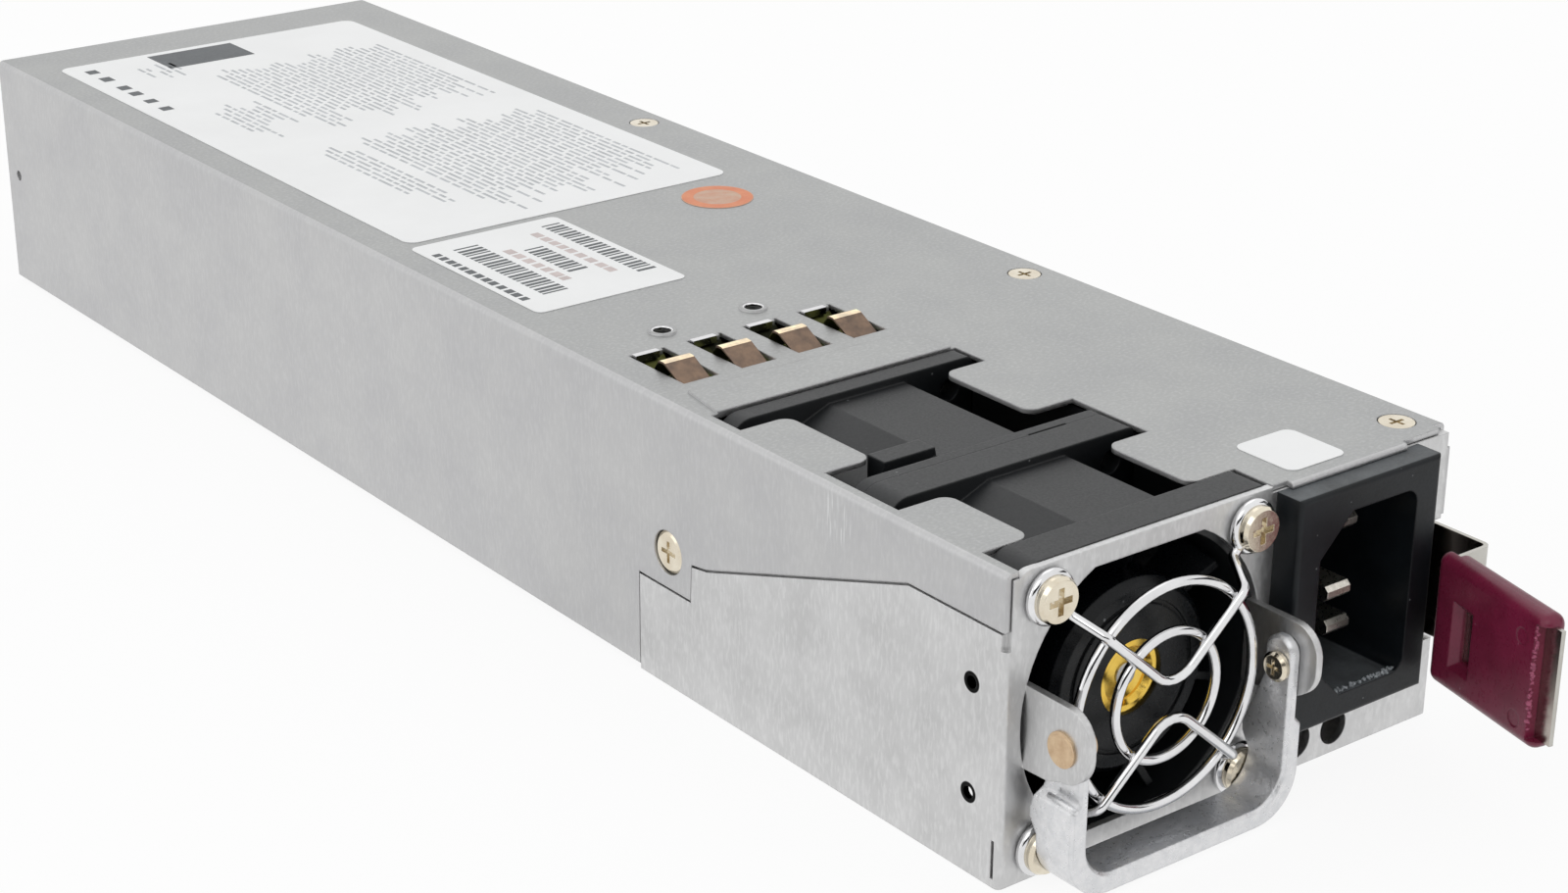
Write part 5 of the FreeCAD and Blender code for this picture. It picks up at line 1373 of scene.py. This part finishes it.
@dataclass
class ArchedFingers:
    """The grounding strip with its four fingers in their sprung shape, and the film under them.

    Sizes and places are in millimetres from the left, rear and top of the CAD node's box.

    Attributes:
        shelf: the built materials.
        fingers: how many.
        pitch_mm: distance between them.
        inset_mm: left edge of the first.
        width_mm: a finger's width.
        sheet_mm: the strip's thickness.
        arch_mm: a finger's side line: how far forward and how far down each point lies.
        strip_mm: the strip's parts round its windows, as left, right, nearest and farthest.
        strip_drop_mm: how far down the strip lies.
        film_mm: the film's left, right, front and rear edge, forwards negative.
        film_drop_mm: how far down it lies.
        film_sheet_mm: its thickness.
    """

    shelf: MaterialShelf
    fingers: int = 4
    pitch_mm: float = 9.28
    inset_mm: float = 0.5
    width_mm: float = 4.7
    sheet_mm: float = 0.3
    arch_mm: tuple[Pair, ...] = (
        (21.3, 2.55), (16.7, 0.1), (16.3, 0.0), (15.6, 0.0), (15.3, 0.1), (13.1, 3.2),
        (11.9, 3.4), (9.9, 1.9), (9.2, 1.9))
    strip_mm: tuple[Quad, ...] = (
        (0.0, 33.8, 5.7, 9.2), (0.0, 33.8, 0.0, 2.9), (0.0, 7.4, 2.9, 5.7),
        (10.4, 22.6, 2.9, 5.7), (25.7, 33.8, 2.9, 5.7))
    strip_drop_mm: float = 1.9
    film_mm: Quad = (-1.0, 34.0, -21.5, -9.0)
    film_drop_mm: float = 4.4
    film_sheet_mm: float = 0.2

    def build(self) -> None:
        """Make the fingers with their strip, which stand for the CAD node, and the film."""
        low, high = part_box("spring_fingers")
        shape = bmesh.new()
        for finger in range(self.fingers):
            left = low.x + (self.inset_mm + finger * self.pitch_mm) * MM
            self.arch(shape, left, high)
        under = high.z - (self.strip_drop_mm + self.sheet_mm) * MM
        for left, right, near, far in self.strip_mm:
            add_slab(shape, rectangle(left, right, -far, -near), Vector((low.x, high.y, under)),
                     self.sheet_mm * MM)
        strip = piece_from("arched_fingers", shape, self.shelf.get(BRONZE_FINGER), "housing")
        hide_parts("spring_fingers")
        film = bmesh.new()
        corner = Vector((low.x, high.y, high.z - self.film_drop_mm * MM))
        add_slab(film, rectangle(*self.film_mm), corner, self.film_sheet_mm * MM)
        piece_from("slot_film_painted_light", film, self.shelf.get(OLIVE_FILM), "housing")
        LOG.info("fingers: %d on one strip", self.fingers)

    def arch(self, shape: Shape, left: float, corner: Vector) -> None:
        """Add one finger: its side line, as thick as the sheet, across its width.

        Args:
            shape: the bmesh that takes it.
            left: its left edge, in metres.
            corner: the rear top corner of the node's box, from which the line is measured.
        """
        upper, under, far_upper, far_under = (
            [shape.verts.new((across, corner.y - back * MM, corner.z - (down + sunk) * MM))
             for back, down in self.arch_mm]
            for across in (left, left + self.width_mm * MM) for sunk in (0.0, self.sheet_mm))
        sides = ((upper, far_upper), (under, far_under), (upper, under), (far_upper, far_under))
        for index in range(len(self.arch_mm) - 1):
            for one, two in sides:
                shape.faces.new((one[index], one[index + 1], two[index + 1], two[index]))
        for end in (0, -1):
            shape.faces.new((upper[end], far_upper[end], far_under[end], under[end]))


# ---------------------------------------------------------------------------------------------
# Studio


@dataclass(frozen=True)
class SoftLamp:
    """One soft studio lamp.

    Attributes:
        name: its name.
        place: where it stands, in metres.
        size: the side of its square, in metres.
        radiance: how bright its surface is, where 1 is white.
    """

    name: str
    place: Triple
    size: float
    radiance: float

    def build(self, target: Vector) -> None:
        """Stand the lamp and turn it to the target.

        Args:
            target: the point that it looks at, in metres.
        """
        data = bpy.data.lights.new(self.name, "AREA")
        data.shape = "SQUARE"
        data.size = self.size
        data.energy = self.radiance * math.pi * self.size ** 2
        lamp = bpy.data.objects.new(self.name, data)
        lamp.location = self.place
        lamp.rotation_euler = (target - Vector(self.place)).to_track_quat("-Z", "Y").to_euler()
        bpy.context.scene.collection.objects.link(lamp)


@dataclass
class Studio:
    """Pale floor, white surroundings, soft lamps, dark cards and the camera.

    Attributes:
        camera_place: where the camera stands, in metres.
        azimuth: its direction round the object, in degrees.
        elevation: its height over the object, in degrees.
        roll: its turn about its own axis, in degrees.
        lens: its focal length, in millimetres.
        sensor_mm: its sensor's width, in millimetres.
        clip_start: nothing nearer than this is drawn, in metres.
        sky: strength of the surroundings as a light.
        floor_colour: sRGB hex colour of the floor itself.
        floor_roughness: its microfacet roughness.
        floor_white: how white the floor looks to the camera; the rest is its shaded self.
        floor_size: the floor's side, in metres.
        floor_drop: how far under the object it lies, in metres.
        target: what the lamps look at, in metres.
        lamps: the lamps.
        cards: each dark card's name, place, width and height, in metres.
        card_colour: the cards' linear colour.
    """

    camera_place: Triple = (-0.239702, -0.353851, 0.179914)
    azimuth: float = -37.769
    elevation: float = 22.606
    roll: float = 0.344
    lens: float = 68.891
    sensor_mm: float = 36.0
    clip_start: float = 0.01
    sky: float = 0.8
    floor_colour: str = "#F4F4F4"
    floor_roughness: float = 0.8
    floor_white: float = 0.9
    floor_size: float = 12.0
    floor_drop: float = 0.0002
    target: Triple = (0.0, -0.02, 0.02)
    lamps: tuple[SoftLamp, ...] = (
        SoftLamp("key_lamp", (-0.9, -0.7, 1.1), 0.9, 0.9),
        SoftLamp("side_lamp", (-1.4, 0.5, 0.5), 0.9, 0.6),
        SoftLamp("top_lamp", (0.5, 0.5, 1.3), 1.0, 0.4),
    )
    cards: tuple[tuple[str, Triple, float, float], ...] = (
        ("front_card", (-0.5, -0.9, 0.3), 1.1, 0.34),
        ("right_card", (1.0, -0.5, 0.3), 0.7, 0.3),
    )
    card_colour: Quad = (0.02, 0.02, 0.022, 1.0)

    def build(self) -> None:
        """Make the whole studio."""
        self.floor()
        self.surroundings()
        for lamp in self.lamps:
            lamp.build(Vector(self.target))
        for name, place, width, height in self.cards:
            self.dark_card(name, Vector(place), width, height)
        self.camera()
        bpy.context.scene.view_settings.view_transform = "Standard"
        LOG.info("studio: floor, %d lamps and camera", len(self.lamps))

    def board(self, name: str, width: float, height: float, material: Material) -> Thing:
        """Make one flat board that belongs to the studio.

        Args:
            name: its name.
            width: its size along its own X, in metres.
            height: its size along its own Y, in metres.
            material: its surface.

        Returns:
            The board, lying at the origin.
        """
        x, y = width / 2, height / 2
        mesh = bpy.data.meshes.new(name)
        mesh.from_pydata([(-x, -y, 0.0), (x, -y, 0.0), (x, y, 0.0), (-x, y, 0.0)], [],
                         [(0, 1, 2, 3)])
        plane = bpy.data.objects.new(name, mesh)
        plane.data.materials.append(material)
        bpy.context.scene.collection.objects.link(plane)
        return plane

    def floor(self) -> None:
        """Lay the floor, which shows white to the camera and keeps a soft shadow."""
        material = empty_material("pale_floor")
        tree = material.node_tree
        shader = tree.nodes["Principled BSDF"]
        shader.inputs["Base Color"].default_value = linear_from_hex(self.floor_colour)
        shader.inputs["Roughness"].default_value = self.floor_roughness
        share = add_node(tree, "Math", {"operation": "MULTIPLY", 1: self.floor_white},
                         {0: self.seen_directly(tree)}).outputs[0]
        white = add_node(tree, "Emission", {"Color": WHITE, "Strength": 1.0})
        mixed = add_node(tree, "MixShader", links={0: share, 1: shader.outputs["BSDF"],
                                                   2: white.outputs["Emission"]})
        tree.links.new(mixed.outputs["Shader"], tree.nodes["Material Output"].inputs["Surface"])
        plane = self.board("floor", self.floor_size, self.floor_size, material)
        plane.location.z = -self.floor_drop

    def surroundings(self) -> None:
        """Make the world: white where it is seen or mirrored, softer as a light."""
        world = bpy.data.worlds.new("studio_world")
        bpy.context.scene.world = world
        world.use_nodes = True
        tree = world.node_tree
        tree.nodes.clear()
        light, white = (add_node(tree, "Background", {"Color": WHITE, "Strength": strength})
                        for strength in (self.sky, 1.0))
        mixed = add_node(tree, "MixShader", links={0: self.seen_directly(tree),
                                                   1: light.outputs["Background"],
                                                   2: white.outputs["Background"]})
        add_node(tree, "OutputWorld", links={"Surface": mixed.outputs["Shader"]})

    def seen_directly(self, tree: Tree) -> Socket:
        """Give 1 for rays that see, mirror or look through to a surface, 0 for the light it sheds.

        Args:
            tree: the node tree that takes the nodes.

        Returns:
            The socket with that value.
        """
        rays = add_node(tree, "LightPath").outputs
        seen = rays["Is Camera Ray"]
        for kind in ("Is Glossy Ray", "Is Transmission Ray"):
            seen = add_node(tree, "Math", {"operation": "MAXIMUM"},
                            {0: seen, 1: rays[kind]}).outputs[0]
        return seen

    def dark_card(self, name: str, place: Vector, width: float, height: float) -> None:
        """Stand a black card that only shows in polished metal, to draw its dark lines.

        Args:
            name: the card's name.
            place: its middle, in metres; it faces the object.
            width: its size across.
            height: its size upwards.
        """
        material = empty_material(name)
        tree = material.node_tree
        black = add_node(tree, "Emission", {"Color": self.card_colour, "Strength": 1.0})
        tree.links.new(black.outputs["Emission"], tree.nodes["Material Output"].inputs["Surface"])
        card = self.board(name, width, height, material)
        turn = Vector((-place.x, -place.y, 0.0)).to_track_quat("Z", "Y").to_matrix().to_4x4()
        card.matrix_world = Matrix.Translation(place) @ turn
        for ray in ("camera", "diffuse", "transmission", "volume_scatter", "shadow"):
            setattr(card, f"visible_{ray}", False)

    def camera(self) -> None:
        """Stand the camera at its place, angle, roll and lens."""
        azimuth = math.radians(self.azimuth)
        elevation = math.radians(self.elevation)
        roll = math.radians(self.roll)
        back = Vector((math.sin(azimuth) * math.cos(elevation),
                       -math.cos(azimuth) * math.cos(elevation), math.sin(elevation)))
        right = Vector((math.cos(azimuth), math.sin(azimuth), 0.0))
        up = back.cross(right)
        right_rolled = math.cos(roll) * right + math.sin(roll) * up
        up_rolled = -math.sin(roll) * right + math.cos(roll) * up
        data = bpy.data.cameras.new("camera")
        data.lens = self.lens
        data.sensor_width = self.sensor_mm
        data.clip_start = self.clip_start
        camera = bpy.data.objects.new("camera", data)
        turn = Matrix((right_rolled, up_rolled, back)).transposed().to_4x4()
        camera.matrix_world = Matrix.Translation(Vector(self.camera_place)) @ turn
        bpy.context.scene.collection.objects.link(camera)
        bpy.context.scene.camera = camera


def main() -> None:
    """Build the scene: frame, finishes, labels, flash, guard, edges, fingers and studio."""
    logging.basicConfig(level=logging.INFO, format="%(name)s: %(message)s")
    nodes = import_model()["nodes"]
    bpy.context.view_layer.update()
    shelf = MaterialShelf()
    dress_nodes(nodes, shelf)
    top = flat_height(nodes["top_cover"])
    CaseLabels(shelf, top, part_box("top_cover")[1].y).build()
    MouldingFlash(shelf).build()
    RoundWireGuard(shelf).build()
    BrightEdges(shelf, top).build()
    ArchedFingers(shelf).build()
    Studio().build()


if __name__ == "__main__":
    main()
